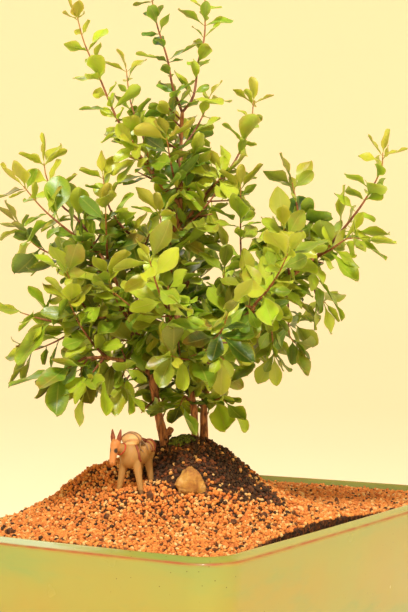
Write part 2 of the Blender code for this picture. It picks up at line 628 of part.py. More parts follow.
def leaf_faces(root, along, face, length, droop, fold, grow=0.0):
    """Return the points and faces of one leaf: a folded, curved blade narrowing to its stalk."""
    side = along.cross(face).normalized()
    normal = side.cross(along).normalized()
    width = length * LEAF_WIDTH_SHARE

    def blade_point(share, half, depth):
        bend = normal * (droop * length * share ** 2 + depth)
        return root + along * length * share + side * half - bend

    (near, near_half), (far, far_half) = LEAF_ROWS
    near_half = near_half * width + grow
    far_half = far_half * width + grow
    top = [
        blade_point(0, 0, 0),
        blade_point(near, -near_half, 0),
        blade_point(near, near_half, 0),
        blade_point(LEAF_FOLD_AT, 0, fold * near_half),
        blade_point(far, -far_half, 0),
        blade_point(far, far_half, 0),
        blade_point(1 + grow / length, 0, fold * far_half / 2),
    ]
    half_thickness = normal * (LEAF_THICKNESS / 2 + grow)
    corners = [point + half_thickness for point in top] + [point - half_thickness for point in top]
    count = len(top)
    plan = ((0, 3, 1), (0, 2, 3), (1, 3, 4), (2, 5, 3), (3, 6, 4), (3, 5, 6))
    faces = [list(item) for item in plan]
    faces += [[index + count for index in reversed(item)] for item in plan]
    outline = (0, 1, 4, 6, 5, 2)
    for index, corner in enumerate(outline):
        after = outline[(index + 1) % len(outline)]
        faces.append([after, corner, corner + count, after + count])
    return corners, faces


def box_faces(low, high):
    """Return the corners and faces of a box along the plant's axes, from its corners in mm."""
    corners = [spot(x, y, z) for z in (low[2], high[2]) for y in (low[1], high[1]) for x in (low[0], high[0])]
    faces = [[0, 1, 3, 2], [4, 5, 7, 6], [0, 1, 5, 4], [2, 3, 7, 6], [0, 2, 6, 4], [1, 3, 7, 5]]
    return corners, faces


class Clearance:
    """Remembers the shapes already placed, and tells whether a new one would cross them."""

    def __init__(self):
        self.shapes = []

    def add(self, owner, corners, faces):
        """Remember a shape under its owner's name."""
        tree = BVHTree.FromPolygons(corners, faces)
        middle = sum(corners, Vector()) / len(corners)
        reach = max((corner - middle).length for corner in corners)
        self.shapes.append((owner, tree, middle, reach))

    def crosses(self, corners, faces, skip=()):
        """Tell whether a shape crosses any remembered one, apart from the owners to skip."""
        tree = BVHTree.FromPolygons(corners, faces)
        middle = sum(corners, Vector()) / len(corners)
        reach = max((corner - middle).length for corner in corners)
        for owner, other, other_middle, other_reach in self.shapes:
            if owner in skip:
                continue
            if (middle - other_middle).length > reach + other_reach:
                continue
            if tree.overlap(other):
                return True
        return False


def taper(count, start, end):
    """Return radii that go evenly from start to end."""
    return [start + (end - start) * index / (count - 1) for index in range(count)]


def filling_route(wood, share, turn, rise, length):
    """Return a gently rising route that leaves a woody route sideways."""
    points = route_points(WOOD_ROUTES[wood][0])
    start, _ = route_place(points, share * route_lengths(points)[-1])
    heading = math.radians(turn)
    level = ACROSS * math.sin(heading) + AWAY * math.cos(heading)
    route = [start]
    for step in range(FILLING_STEPS):
        climb = math.radians(rise + FILLING_CURL * step)
        direction = level * math.cos(climb) + UP * math.sin(climb)
        route.append(route[-1] + direction * length * MM / FILLING_STEPS)
    return route


def shoot_routes():
    """Return every leafy shoot's route in metres, drawn ones first."""
    routes = {name: route_points(points) for name, points in DRAWN_SHOOTS.items()}
    for name, plan in FILLING_SHOOTS.items():
        routes[name] = filling_route(*plan)
    return routes


def trim_start(route, clearance):
    """Shorten a route's start until its first stretch is clear of the wood by the usual gap."""
    lengths = route_lengths(route)
    distance = TRIM_FROM
    while distance < lengths[-1] / 2:
        start, direction = route_place(route, distance)
        tube = prism_faces([start - GAP * direction, start + TRIM_TEST * direction],
                           [SHOOT_RADII[0] + GAP] * 2, WOOD_SIDES)
        if not clearance.crosses(*tube):
            break
        distance += TRIM_STEP
    rest = [point for point, length in zip(route, lengths) if length > distance + ROUTE_SPACING]
    return [start] + rest


def grow_leaf(rng, base, stem, radius, heading, young, clearance, owner, pending):
    """Try seeded turns of one leaf until it is clear of everything, and return it or None."""
    for attempt in range(LEAF_TRIES):
        spread = LEAF_SPREAD * (1 - YOUNG_CLOSING * young) + rng.uniform(-SPREAD_DRAW, SPREAD_DRAW)
        spread = math.radians(spread)
        swing = math.radians(rng.uniform(-SWING_DRAW, SWING_DRAW) * (1 + attempt / 2))
        outward = Matrix.Rotation(swing, 3, stem) @ heading
        along = (stem * math.cos(spread) + outward * math.sin(spread)).normalized()
        along = (along + UP * rng.uniform(*LIFT_DRAW)).normalized()
        roll = math.radians(rng.uniform(-ROLL_DRAW, ROLL_DRAW))
        sky = UP - along * UP.dot(along)
        if sky.length < LEAST_SKY:
            sky = outward - along * outward.dot(along)
        face = Matrix.Rotation(roll, 3, along) @ sky.normalized()
        length = LEAF_LENGTH * rng.uniform(*LENGTH_DRAW)
        length *= (1 - YOUNG_SHRINK * young) * (1 - TRY_SHRINK * attempt)
        droop = rng.uniform(*DROOP_DRAW)
        fold = rng.uniform(*FOLD_DRAW)
        root = base + outward * radius * 0.1
        leaf = (root, along, face, length, droop, fold)
        corners, faces = leaf_faces(*leaf, grow=GAP)
        if clearance.crosses(corners, faces, skip=(owner,)):
            continue
        stalk = length * STALK_SHARE
        shape = leaf_faces(root + along * stalk, along, face, length - stalk, droop, fold)
        blade = BVHTree.FromPolygons(*shape)
        if any(blade.overlap(other) for other in pending):
            continue
        pending.append(blade)
        return leaf
    return None


def leaves_of_shoot(name, route, clearance):
    """Return the leaves of one shoot: opposite pairs, quarter-turned, and one at the tip."""
    rng = random.Random(LEAF_SEED + sum(ord(letter) for letter in name))
    total = route_lengths(route)[-1]
    twist = rng.uniform(0, math.pi)
    radii = taper(len(route), *SHOOT_RADII)
    pending = [BVHTree.FromPolygons(*prism_faces(route, radii, STEM_SIDES))]
    leaves = []
    pairs = max(2, round((total - FIRST_PAIR) / PAIR_SPACING))
    for pair in range(pairs):
        share = (FIRST_PAIR + (total - FIRST_PAIR - TIP_SPACE) * pair / (pairs - 1)) / total
        base, stem = route_place(route, share * total)
        radius = SHOOT_RADII[0] + (SHOOT_RADII[1] - SHOOT_RADII[0]) * share
        young = max(0.0, (share - YOUNG_FROM) / (1 - YOUNG_FROM)) * min(1.0, total / YOUNG_LENGTH)
        first = stem.orthogonal().normalized()
        turn = twist + pair * math.pi / 2
        for side in (0, math.pi):
            heading = Matrix.Rotation(turn + side, 3, stem) @ first
            leaf = grow_leaf(rng, base, stem, radius, heading, young, clearance, name, pending)
            if leaf:
                leaves.append(leaf)
    end, stem = route_place(route, total)
    tip = grow_leaf(rng, end - stem * SHOOT_RADII[1], stem, 0, stem, TIP_YOUTH, clearance, name, pending)
    if tip:
        leaves.append(tip)
    for leaf in leaves:
        clearance.add(name, *leaf_faces(*leaf))
    return leaves


def grow_plant():
    """Return the routes and leaves of every shoot, placed clear of the wood and of each other."""
    clearance = Clearance()
    clearance.add("pack_animal", *box_faces(*ANIMAL_ROOM))
    for points, start, end in WOOD_ROUTES.values():
        route = route_points(points)
        for index, (before, after) in enumerate(zip(route, route[1:])):
            radii = taper(len(route), start * MM, end * MM)
            clearance.add("wood", *prism_faces([before, after], radii[index:index + 2], WOOD_SIDES))
    routes = {}
    for name, plan in shoot_routes().items():
        route = trim_start(plan, clearance)
        radii = taper(len(route), *SHOOT_RADII)
        for index, (before, after) in enumerate(zip(route, route[1:])):
            clearance.add(name, *prism_faces([before, after], radii[index:index + 2], STEM_SIDES))
        routes[name] = route
    return {name: (route, leaves_of_shoot(name, route, clearance)) for name, route in routes.items()}


def tube_object(name, points, radii, collection, resolution):
    """Add a tapered tube along points: a bevelled curve made into a closed mesh."""
    curve = bpy.data.curves.new(name, "CURVE")
    curve.dimensions = "3D"
    curve.bevel_depth = 1
    curve.bevel_resolution = resolution
    curve.use_fill_caps = True
    spline = curve.splines.new("POLY")
    spline.points.add(len(points) - 1)
    for control, point, radius in zip(spline.points, points, radii):
        control.co = (*point, 1)
        control.radius = radius
    guide = bpy.data.objects.new("guide", curve)
    bpy.context.scene.collection.objects.link(guide)
    graph = bpy.context.evaluated_depsgraph_get()
    mesh = bpy.data.meshes.new_from_object(guide.evaluated_get(graph))
    bm = bmesh.new()
    bm.from_mesh(mesh)
    bmesh.ops.remove_doubles(bm, verts=bm.verts, dist=0.01 * MM)
    bpy.data.meshes.remove(mesh)
    tube = add_object(name, mesh_from_bmesh(name, bm), collection)
    tube.matrix_world = guide.matrix_world
    bpy.data.objects.remove(guide)
    return tube


def make_wood(parts, tools):
    """Stems and branches grown as one piece from a buried root crown."""
    top = soil_height(PLANT_FOOT.x, PLANT_FOOT.y)
    bm = bmesh.new()
    corners = [bm.verts.new((share * CROWN_RADIUS, 0, top + height)) for share, height in CROWN_PROFILE]
    for before, after in zip(corners, corners[1:]):
        bm.edges.new((before, after))
    mesh = bpy.data.meshes.new("trunk_and_branches")
    bm.to_mesh(mesh)
    bm.free()
    wood = add_object("trunk_and_branches", mesh, parts, make_material("bark", BARK, 0.85))
    screw = wood.modifiers.new("Turn", "SCREW")
    screw.steps = CROWN_SIDES
    screw.render_steps = CROWN_SIDES
    screw.use_merge_vertices = True
    screw.merge_threshold = 0.00005
    wood.location = (PLANT_FOOT.x, PLANT_FOOT.y, 0)
    apply_modifiers(wood)
    for name, (points, start, end) in WOOD_ROUTES.items():
        route = route_points(points)
        radii = taper(len(route), start * MM, end * MM)
        tube_object(name, route, radii, tools, 2 if start > THICK_WOOD else 1)
    combine(wood, tools, "UNION")


def join_shoot(name, route, leaves, parts, tools, material):
    """Fuse one shoot's leaves to its stem, as one closed body."""
    radii = taper(len(route), *SHOOT_RADII)
    stem = tube_object(name, route, radii, parts, 0)
    stem.data.materials.append(material)
    for index, leaf in enumerate(leaves):
        add_object(f"{name}_leaf_{index}", mesh_from_faces("leaf", *leaf_faces(*leaf)), tools)
    combine(stem, tools, "UNION")


def main():
    clear_scene()
    parts = make_collection("pomegranate_bonsai")
    tools = make_collection("tools")
    make_pot(parts, tools)
    stone_cutter = make_stone(parts)
    make_soil(parts, tools, stone_cutter)
    make_animal(parts, tools)
    make_wood(parts, tools)
    greens = [make_material(f"leaf_{index}", green, 0.5) for index, green in enumerate(LEAF_GREENS)]
    for index, (name, (route, leaves)) in enumerate(grow_plant().items()):
        join_shoot(f"shoot_{name}", route, leaves, parts, tools, greens[index % len(greens)])


main()
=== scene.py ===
"""Pomegranate bonsai: a young multi-stemmed tree with its gravel mound, glazed pot, stone and clay
pack animal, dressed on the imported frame. Metres, +Z up, the origin on the table under the pot."""

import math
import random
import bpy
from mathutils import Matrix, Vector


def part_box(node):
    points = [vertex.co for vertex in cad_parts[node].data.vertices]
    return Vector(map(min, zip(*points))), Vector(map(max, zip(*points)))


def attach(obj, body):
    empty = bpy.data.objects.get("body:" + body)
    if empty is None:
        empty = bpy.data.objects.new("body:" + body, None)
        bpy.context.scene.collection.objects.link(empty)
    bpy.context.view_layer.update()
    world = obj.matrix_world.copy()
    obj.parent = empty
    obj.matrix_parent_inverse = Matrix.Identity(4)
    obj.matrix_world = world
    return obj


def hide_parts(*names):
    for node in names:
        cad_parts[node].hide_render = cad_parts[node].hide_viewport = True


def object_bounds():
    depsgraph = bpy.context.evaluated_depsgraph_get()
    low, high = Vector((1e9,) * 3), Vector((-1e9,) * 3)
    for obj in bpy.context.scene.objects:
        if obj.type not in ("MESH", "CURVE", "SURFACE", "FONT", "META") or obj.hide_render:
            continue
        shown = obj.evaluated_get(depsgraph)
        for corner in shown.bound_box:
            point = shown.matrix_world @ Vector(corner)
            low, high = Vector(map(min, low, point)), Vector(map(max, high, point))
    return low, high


bl_info = {
    "name": "Pomegranate bonsai",
    "version": (1, 0, 0),
    "blender": (4, 5, 0),
    "location": "3D View > Sidebar > Bonsai",
    "description": "Dresses a potted pomegranate bonsai with fine leaves, bark, glaze, gravel and paint",
    "category": "Add Mesh",
}

import bmesh
import bpy
import numpy as np
from bpy.props import FloatProperty, FloatVectorProperty, IntProperty, PointerProperty
from mathutils import Matrix, Vector, noise
from mathutils.bvhtree import BVHTree

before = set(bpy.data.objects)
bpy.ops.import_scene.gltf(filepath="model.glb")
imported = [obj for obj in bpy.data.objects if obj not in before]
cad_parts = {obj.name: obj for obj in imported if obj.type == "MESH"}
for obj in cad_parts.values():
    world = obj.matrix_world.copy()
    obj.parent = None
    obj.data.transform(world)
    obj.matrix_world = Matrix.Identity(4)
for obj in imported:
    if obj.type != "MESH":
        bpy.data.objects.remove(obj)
CAD_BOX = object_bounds()

MM = 0.001
UP = Vector((0, 0, 1))
GAP = 0.3 * MM  # clearance between pieces that touch

# Pot: outer size at the rim
POT_LENGTH = 350 * MM
POT_WIDTH = 200 * MM
POT_HEIGHT = 90 * MM
RIM_RADIUS = 22 * MM
SIDE_BOW = 2 * MM  # the middle of each side stands out by this much
INNER_TOP = 7.5 * MM  # set in from the rim's outer edge
FLOOR_TOP = 21 * MM
FOOT_HEIGHT = 11 * MM
FOOT_SIZE = (52 * MM, 24 * MM)
FOOT_MIDDLE = (128 * MM, 69 * MM)
DRAIN_RADIUS = 9 * MM
DRAIN_SPACING = 150 * MM
CORNER_STEPS = 12
SIDE_STEPS = 8
# Section of the pot from its base up the outside and down the inside: inset, height and corner radius
# in mm, then how brown the thin glaze is there and how green it has pooled
POT_SECTION = (
    (17.4, 11.0, 12.0, 0.2, 0.2), (16.2, 11.2, 13.0, 0.3, 0.2), (14.4, 12.3, 14.5, 0, 0.5),
    (13.0, 14.5, 15.0, 0, 0.7), (11.2, 21.0, 16.0, 0, 0.35), (9.0, 30.0, 17.2, 0, 0.1),
    (5.2, 47.0, 19.0, 0, 0), (2.6, 62.0, 20.5, 0, 0), (1.0, 76.0, 21.6, 0, 0.15),
    (0.45, 82.5, 22.0, 0, 0.3), (0.12, 85.0, 22.0, 0, 0.25), (0.0, 86.1, 22.0, 0.25, 0),
    (0.12, 86.8, 21.9, 1, 0), (0.5, 87.3, 21.6, 1, 0), (1.05, 87.6, 21.1, 0.35, 0),
    (1.8, 87.95, 20.6, 0, 0.1), (3.4, 88.7, 19.4, 0, 0.35), (5.2, 89.5, 18.0, 0, 0.3),
    (6.1, 89.85, 17.2, 0.1, 0), (6.8, 89.8, 16.6, 0.2, 0), (7.3, 89.3, 16.2, 0.1, 0.2),
    (7.6, 88.2, 16.0, 0, 0.6), (8.4, 84.0, 15.6, 0, 0.5), (20.0, 21.0, 8.0, 0, 0),
)

# The plant's own axes: the side that faces the viewer is its front
FRONT_TURN = math.radians(58)
ACROSS = Vector((math.cos(FRONT_TURN), -math.sin(FRONT_TURN), 0))
AWAY = Vector((math.sin(FRONT_TURN), math.cos(FRONT_TURN), 0))
PLANT_FOOT = Vector((-49 * MM, -1 * MM, POT_HEIGHT))

# Soil: a mound of gravel round the stems, above and below the rim's level
SOIL_EDGE = -5 * MM
MOUND_PARTS = (  # middle across and away, spread, height, sharpness
    (0, 0, 82 * MM, 27 * MM, 2),
    (0, 0, 41 * MM, 24 * MM, 3),
    (-58 * MM, 12 * MM, 28 * MM, 17 * MM, 2),
)

# Ornament: where it stands on the mound
ANIMAL_PLACE = (-31 * MM, -34 * MM)
TERRACE_LEVEL = 21 * MM  # flat spot pressed into the mound for the ornament, above the rim
TERRACE_RADIUS = 20 * MM
TERRACE_SHARPNESS = 4
HOOF_SUNK = 3 * MM

# Ornament: its masses in its own frame, in mm: side, towards the tail, up
ANIMAL_TURN = math.radians(-24)  # how far its head swings from straight at the viewer to the left
HOOF_STEPS = ((-7.9, -9), (8.6, -9), (-5, 13), (5, 13))
HIP_HEIGHT = 18
ANIMAL_SCALE = 0.96
LEG_RADII = (1.4, 2.7)  # at the hoof and at the hip
HIP_NARROWING = (0.5, 0.9)  # a hip's place as a share of its hoof's, sideways and lengthways
BARREL = ((0, 2, 21.5), (6.8, 13, 6.8))  # middle and half sizes
BODY_BALLS = (
    ((0, -8, 21.5), (6.9, 6, 8)),
    ((0, 12, 22), (6.6, 6, 7)),
    ((-5, -18, 28.4), (2.9, 3.3, 3.0)),
    ((-5.2, -21.8, 18.2), (2.0, 2.1, 2.1)),
    ((-1, -4, 31), (6.2, 5.4, 4.4)),
    ((-6, 6, 25.5), (3, 6, 5)),
    ((6, 6, 25.5), (3, 6, 5)),
)
NECK = ((-1, -9.5, 23), (-4.6, -17, 27.6), 4.6, 2.8)  # start, end and the radii there
HEAD = ((-5, -18.5, 29), (-5.2, -22, 18), 2.8, 1.8)
TAIL = ((0, 17, 25), (0, 20.5, 18), 1.4, 0.8)
EAR_MIDDLE = -5  # the ears stand either side of this
EAR_ROOT = (1.7, -17.5, 29.5)
EAR_TIP = (2.9, -16.5, 38)
EAR_RADII = (1.3, 0.4)
ANIMAL_ROOM = ((-59, -68, 15), (-14, -10, 64))  # box of air kept round it, across, away and up in mm

# Woody routes: (across, away, up) in mm from the plant's foot, then the radii at the two ends in mm
WOOD_ROUTES = {
    "left_stem": ([(-12, -3, 25), (-15, -4, 47), (-18, -5, 61), (-20, -8, 73), (-23, -12, 89),
                   (-28, -14, 106), (-33, -16, 121), (-39, -17, 136)], 3.4, 1.5),
    "leader": ([(4, 1, 25), (4, 2, 54), (3, 3, 68), (0, 4, 86), (-3, 5, 106), (-8, 4, 128),
                (-12, 3, 149), (-9, 2, 176), (-5, 2, 193), (-5, 1, 221), (-4, 0, 250)], 2.5, 1.1),
    "right_stem": ([(9, 5, 25), (9.5, 5, 53), (9.5, 6, 68), (12, 5, 85), (18, 2, 115), (29, 0, 127),
                    (41, -3, 136), (59, -9, 146), (77, -13, 159), (87, -15, 168)], 2.8, 1.1),
    "right_fork": ([(41, -3, 136), (49, -8, 145), (53, -10, 155), (62, -13, 174)], 1.4, 1.0),
    "left_branch": ([(-39, -17, 136), (-47, -15, 150), (-54, -13, 162), (-61, -12, 175)], 1.5, 1.0),
    "inner_branch": ([(-12, 3, 149), (-19, -2, 156), (-29, -8, 165), (-36, -12, 174)], 1.4, 1.0),
    "high_left_branch": ([(-5, 2, 193), (-12, -2, 200), (-19, -6, 207), (-32, -11, 225)], 1.4, 1.0),
    "high_right_branch": ([(-9, 2, 176), (3, 6, 189), (13, 9, 203)], 1.4, 1.0),
    "far_left_branch": ([(-33, -16, 121), (-45, -19, 124), (-60, -23, 122), (-73, -25, 119)], 1.5, 1.0),
    "low_left_branch": ([(-23, -12, 89), (-37, -21, 96), (-50, -33, 99), (-61, -40, 99)], 1.6, 1.0),
    "front_branch": ([(-3, 5, 106), (-6, -13, 112), (-9, -33, 118), (-11, -52, 126)], 1.6, 1.0),
    "front_right_branch": ([(0, 4, 86), (6, -15, 96), (12, -35, 104), (16, -50, 111)], 1.6, 1.0),
    "right_front_branch": ([(18, 2, 115), (26, -19, 119), (35, -40, 124), (39, -58, 131)], 1.5, 1.0),
    "back_branch": ([(-8, 4, 128), (-4, 25, 136), (-1, 44, 145), (0, 62, 157)], 1.6, 1.0),
    "back_right_branch": ([(13, 5, 85), (23, 25, 101), (34, 44, 112), (41, 60, 124)], 1.6, 1.0),
    "back_left_branch": ([(-28, -14, 106), (-37, 10, 114), (-49, 33, 121), (-60, 50, 130)], 1.5, 1.0),
    "cut_stub": ([(-15, -4, 47), (-12.5, -7, 52), (-10.5, -9, 55)], 2.5, 2.2),
}

# Leafy shoots whose course the front shows: (across, away, up) in mm, first point on the wood
DRAWN_SHOOTS = {
    "upper_left": [(-32, -11, 225), (-38, -12, 235), (-45, -15, 247), (-55, -19, 271), (-63, -21, 289),
                   (-67, -23, 304)],
    "inner_left": [(-25, -8, 216), (-27, -1, 231), (-33, 3, 247), (-37, 5, 261), (-39, 6, 278)],
    "top_left": [(-4, 0, 250), (-10, -3, 266), (-13, -5, 282), (-20, -9, 305), (-24, -12, 328)],
    "top_right": [(-4, 0, 250), (3, 4, 261), (6, 8, 283), (10, 10, 301), (10, 12, 332)],
    "right_centre": [(13, 9, 203), (24, 12, 214), (32, 14, 227), (39, 17, 245), (41, 18, 260)],
    "thin_upright": [(29, 0, 127), (33, -4, 146), (32, -6, 170), (32, -10, 203)],
    "fork_tip": [(62, -13, 174), (67, -15, 182), (66, -16, 191), (63, -17, 205)],
    "right_tip": [(87, -15, 168), (99, -20, 183), (108, -23, 196), (116, -25, 212), (117, -26, 222)],
    "right_hanging": [(77, -13, 159), (86, -25, 164), (95, -31, 170), (102, -35, 170)],
    "low_right": [(41, -3, 136), (49, -12, 126), (51, -15, 111), (52, -17, 99)],
    "right_twig": [(59, -9, 146), (62, 4, 130), (63, 10, 112), (68, 13, 106)],
    "right_end_twig": [(77, -13, 159), (77, -6, 146), (79, -2, 136), (85, 2, 132)],
    "left_tip": [(-61, -12, 175), (-70, -12, 185), (-78, -13, 192), (-86, -15, 207), (-88, -15, 217)],
    "left_middle_tip": [(-54, -13, 162), (-64, -21, 169), (-77, -28, 179), (-88, -32, 189),
                        (-98, -35, 201)],
    "left_outer_tip": [(-47, -15, 150), (-63, -8, 156), (-82, 2, 161), (-97, 9, 169), (-107, 12, 181)],
    "inner_tip": [(-36, -12, 174), (-42, -13, 180), (-49, -16, 192), (-52, -17, 209)],
    "far_left": [(-73, -25, 119), (-83, -29, 121), (-91, -31, 123), (-100, -33, 126)],
    "far_left_low": [(-60, -23, 122), (-74, -15, 112), (-86, -10, 106), (-97, -6, 102)],
    "low_left_outer": [(-61, -40, 99), (-68, -44, 95), (-77, -46, 89)],
    "low_left_middle": [(-50, -33, 99), (-55, -44, 92), (-59, -52, 86)],
    "low_left_inner": [(-37, -21, 96), (-39, -33, 88), (-40, -40, 81)],
    "low_middle_left": [(-19, -8, 73), (-24, -21, 70), (-28, -30, 66)],
    "low_middle": [(3, 3, 68), (-2, -13, 75), (-5, -25, 70)],
    "low_middle_right": [(11, 6, 68), (19, -6, 73), (23, -13, 71)],
}

# Shoots that fill the crown: wood, place along it (0 to 1), turn round it, rise (degrees), length in mm
FILLING_SHOOTS = {
    "fill_front_end": ("front_branch", 1.0, 200, 35, 42),
    "fill_front_left": ("front_branch", 0.62, 250, 20, 44),
    "fill_front_right_end": ("front_right_branch", 1.0, 170, 12, 40),
    "fill_right_front_end": ("right_front_branch", 1.0, 150, 30, 44),
    "fill_right_front_side": ("right_front_branch", 0.6, 110, 45, 44),
    "fill_back_end": ("back_branch", 1.0, 0, 40, 46),
    "fill_back_left": ("back_branch", 0.6, 300, 30, 48),
    "fill_back_right_end": ("back_right_branch", 1.0, 30, 30, 46),
    "fill_back_right_side": ("back_right_branch", 0.62, 70, 5, 44),
    "fill_back_left_end": ("back_left_branch", 1.0, 320, 35, 46),
    "fill_back_left_side": ("back_left_branch", 0.6, 350, 10, 44),
    "fill_middle_front": ("leader", 0.56, 190, 40, 46),
    "fill_middle_back": ("leader", 0.60, 20, 45, 52),
    "fill_middle_right": ("leader", 0.66, 95, 40, 50),
    "fill_high_front": ("leader", 0.76, 200, 48, 44),
    "fill_high_back": ("leader", 0.80, 350, 50, 46),
    "fill_high_right": ("leader", 0.90, 60, 50, 40),
    "fill_right_stem_front": ("right_stem", 0.50, 170, 50, 44),
    "fill_right_stem_back": ("right_stem", 0.72, 30, 45, 44),
    "fill_right_stem_end": ("right_stem", 0.82, 190, 35, 40),
    "fill_left_stem_front": ("left_stem", 0.80, 215, 38, 44),
    "fill_left_stem_back": ("left_stem", 0.90, 330, 40, 48),
    "fill_left_branch_front": ("left_branch", 0.45, 180, 48, 42),
    "fill_far_left_front": ("far_left_branch", 0.6, 210, 35, 40),
    "fill_low_left_up": ("low_left_branch", 0.7, 240, 45, 42),
    "fill_front_low": ("front_right_branch", 0.55, 210, -8, 38),
}

# Leaves: opposite pairs, each pair turned a quarter from the last
LEAF_LENGTH = 29 * MM
LEAF_WIDTH_SHARE = 0.5
LEAF_THICKNESS = 0.7 * MM
LEAF_ROWS = ((0.42, 0.46), (0.79, 0.40))  # share of the length, half width as a share of the width
LEAF_FOLD_AT = 0.58  # share of the length where the midrib lies deepest
LEAF_SPREAD = 58  # degrees between a leaf and its stem
PAIR_SPACING = 17 * MM
FIRST_PAIR = 9 * MM
TIP_SPACE = 2 * MM
SHOOT_RADII = (1.0 * MM, 0.8 * MM)
LEAF_TRIES = 7
LEAF_SEED = 41
SPREAD_DRAW = 12  # degrees either way
SWING_DRAW = 14
ROLL_DRAW = 38
LIFT_DRAW = (-0.12, 0.22)
LENGTH_DRAW = (0.82, 1.14)
DROOP_DRAW = (0.04, 0.26)
FOLD_DRAW = (0.15, 0.5)
YOUNG_FROM = 0.55  # leaves past this share of a shoot are younger
YOUNG_LENGTH = 90 * MM  # a shorter shoot has less young growth
YOUNG_SHRINK = 0.42
YOUNG_CLOSING = 0.35
TIP_YOUTH = 0.8
TRY_SHRINK = 0.03
STALK_SHARE = 0.16  # of a leaf's length, where leaves of one pair may meet
LEAST_SKY = 0.25

# Filling shoots curl upwards in a few steps; every shoot starts clear of the wood that carries it
FILLING_STEPS = 3
FILLING_CURL = 9  # degrees more at each step
TRIM_FROM = 0.5 * MM
TRIM_STEP = 0.2 * MM
TRIM_TEST = 3 * MM
ROUTE_SPACING = 2 * MM
WOOD_SIDES = 8
STEM_SIDES = 6


def spot(across, away, up):
    """Return the place of a point given in mm along the plant's own axes."""
    return PLANT_FOOT + MM * (across * ACROSS + away * AWAY + up * UP)


def along_plant_axes(x, y):
    """Return how far across and away a place in the pot lies from the plant's foot."""
    offset = Vector((x, y, 0)) - PLANT_FOOT
    return offset.dot(ACROSS), offset.dot(AWAY)


def soil_height(x, y):
    """Return the height of the soil's surface, without its gravel relief."""
    across, away = along_plant_axes(x, y)
    height = POT_HEIGHT + SOIL_EDGE
    for middle_across, middle_away, spread, rise, sharpness in MOUND_PARTS:
        distance = math.hypot(across - middle_across, away - middle_away)
        height += rise * math.exp(-((distance / spread) ** sharpness))
    distance = math.hypot(across - ANIMAL_PLACE[0], away - ANIMAL_PLACE[1])
    level = math.exp(-((distance / TERRACE_RADIUS) ** TERRACE_SHARPNESS))
    return height + (POT_HEIGHT + TERRACE_LEVEL - height) * level


def bowed_outline(half_length, half_width, radius):
    """Return a rounded rectangle whose sides bow outwards, as a list of (x, y)."""
    outline = []
    corners = ((1, 1, 0), (-1, 1, 90), (-1, -1, 180), (1, -1, 270))
    for index, (sign_x, sign_y, start) in enumerate(corners):
        middle = Vector((sign_x * (half_length - radius), sign_y * (half_width - radius)))
        for step in range(CORNER_STEPS + 1):
            turn = math.radians(start + 90 * step / CORNER_STEPS)
            outline.append(middle + radius * Vector((math.cos(turn), math.sin(turn))))
        next_x, next_y, next_start = corners[(index + 1) % len(corners)]
        next_middle = Vector((next_x * (half_length - radius), next_y * (half_width - radius)))
        turn = math.radians(next_start)
        side_end = next_middle + radius * Vector((math.cos(turn), math.sin(turn)))
        side_start = outline[-1]
        for step in range(1, SIDE_STEPS):
            outline.append(side_start.lerp(side_end, step / SIDE_STEPS))
    bowed = []
    for point in outline:
        bow_x = SIDE_BOW / half_length * (1 - (point.y / half_width) ** 2)
        bow_y = SIDE_BOW / half_width * (1 - (point.x / half_length) ** 2)
        bowed.append(Vector((point.x * (1 + bow_x), point.y * (1 + bow_y))))
    return bowed


def pot_ring(inset, height, radius):
    """Return one ring of the pot's section, set in from the rim's outer edge."""
    outline = bowed_outline(POT_LENGTH / 2 - inset, POT_WIDTH / 2 - inset, radius)
    return [Vector((point.x, point.y, height)) for point in outline]


def on_mound(across, away):
    """Return the x and y of a place given in metres along the plant's own axes."""
    place = PLANT_FOOT + across * ACROSS + away * AWAY
    return place.x, place.y


def animal_place(side, tailward, up):
    """Return the place of a point of the ornament, given in mm in its own frame."""
    x, y = on_mound(*ANIMAL_PLACE)
    tail = AWAY * math.cos(ANIMAL_TURN) - ACROSS * math.sin(ANIMAL_TURN)
    flank = ACROSS * math.cos(ANIMAL_TURN) + AWAY * math.sin(ANIMAL_TURN)
    ground = Vector((x, y, soil_height(x, y)))
    return ground + ANIMAL_SCALE * MM * (side * flank + tailward * tail + up * UP)


def animal_legs():
    """Return each leg's two ends: the hoof is sunk a little into the gravel below it."""
    legs = []
    for side, tailward in HOOF_STEPS:
        foot = animal_place(side, tailward, 0)
        hoof = Vector((foot.x, foot.y, soil_height(foot.x, foot.y) - HOOF_SUNK))
        hip = animal_place(side * HIP_NARROWING[0], tailward * HIP_NARROWING[1], HIP_HEIGHT)
        legs.append((hoof, hip))
    return legs


def route_points(points):
    """Return a route's points in metres."""
    return [spot(*point) for point in points]


def route_lengths(points):
    """Return the running length at each point of a route."""
    lengths = [0.0]
    for before, after in zip(points, points[1:]):
        lengths.append(lengths[-1] + (after - before).length)
    return lengths


def route_place(points, distance):
    """Return the point and the direction at a running length along a route."""
    lengths = route_lengths(points)
    for index in range(len(points) - 1):
        last = index == len(points) - 2
        if distance <= lengths[index + 1] or last:
            direction = (points[index + 1] - points[index]).normalized()
            return points[index] + direction * (distance - lengths[index]), direction
    return points[-1], UP


def prism_faces(points, radii, sides):
    """Return the points and faces of a tube round a route, for clearance tests."""
    rings = []
    for index, point in enumerate(points):
        before = points[max(index - 1, 0)]
        after = points[min(index + 1, len(points) - 1)]
        direction = (after - before).normalized()
        first = direction.orthogonal().normalized()
        second = direction.cross(first)
        rings.append([point + radii[index] * (math.cos(turn) * first + math.sin(turn) * second)
                      for turn in (2 * math.pi * side / sides for side in range(sides))])
    corners = [corner for ring in rings for corner in ring]
    faces = [list(range(sides)), list(range(len(corners) - sides, len(corners)))]
    for row in range(len(rings) - 1):
        for side in range(sides):
            after = (side + 1) % sides
            faces.append([row * sides + side, row * sides + after, (row + 1) * sides + after,
                          (row + 1) * sides + side])
    return corners, faces


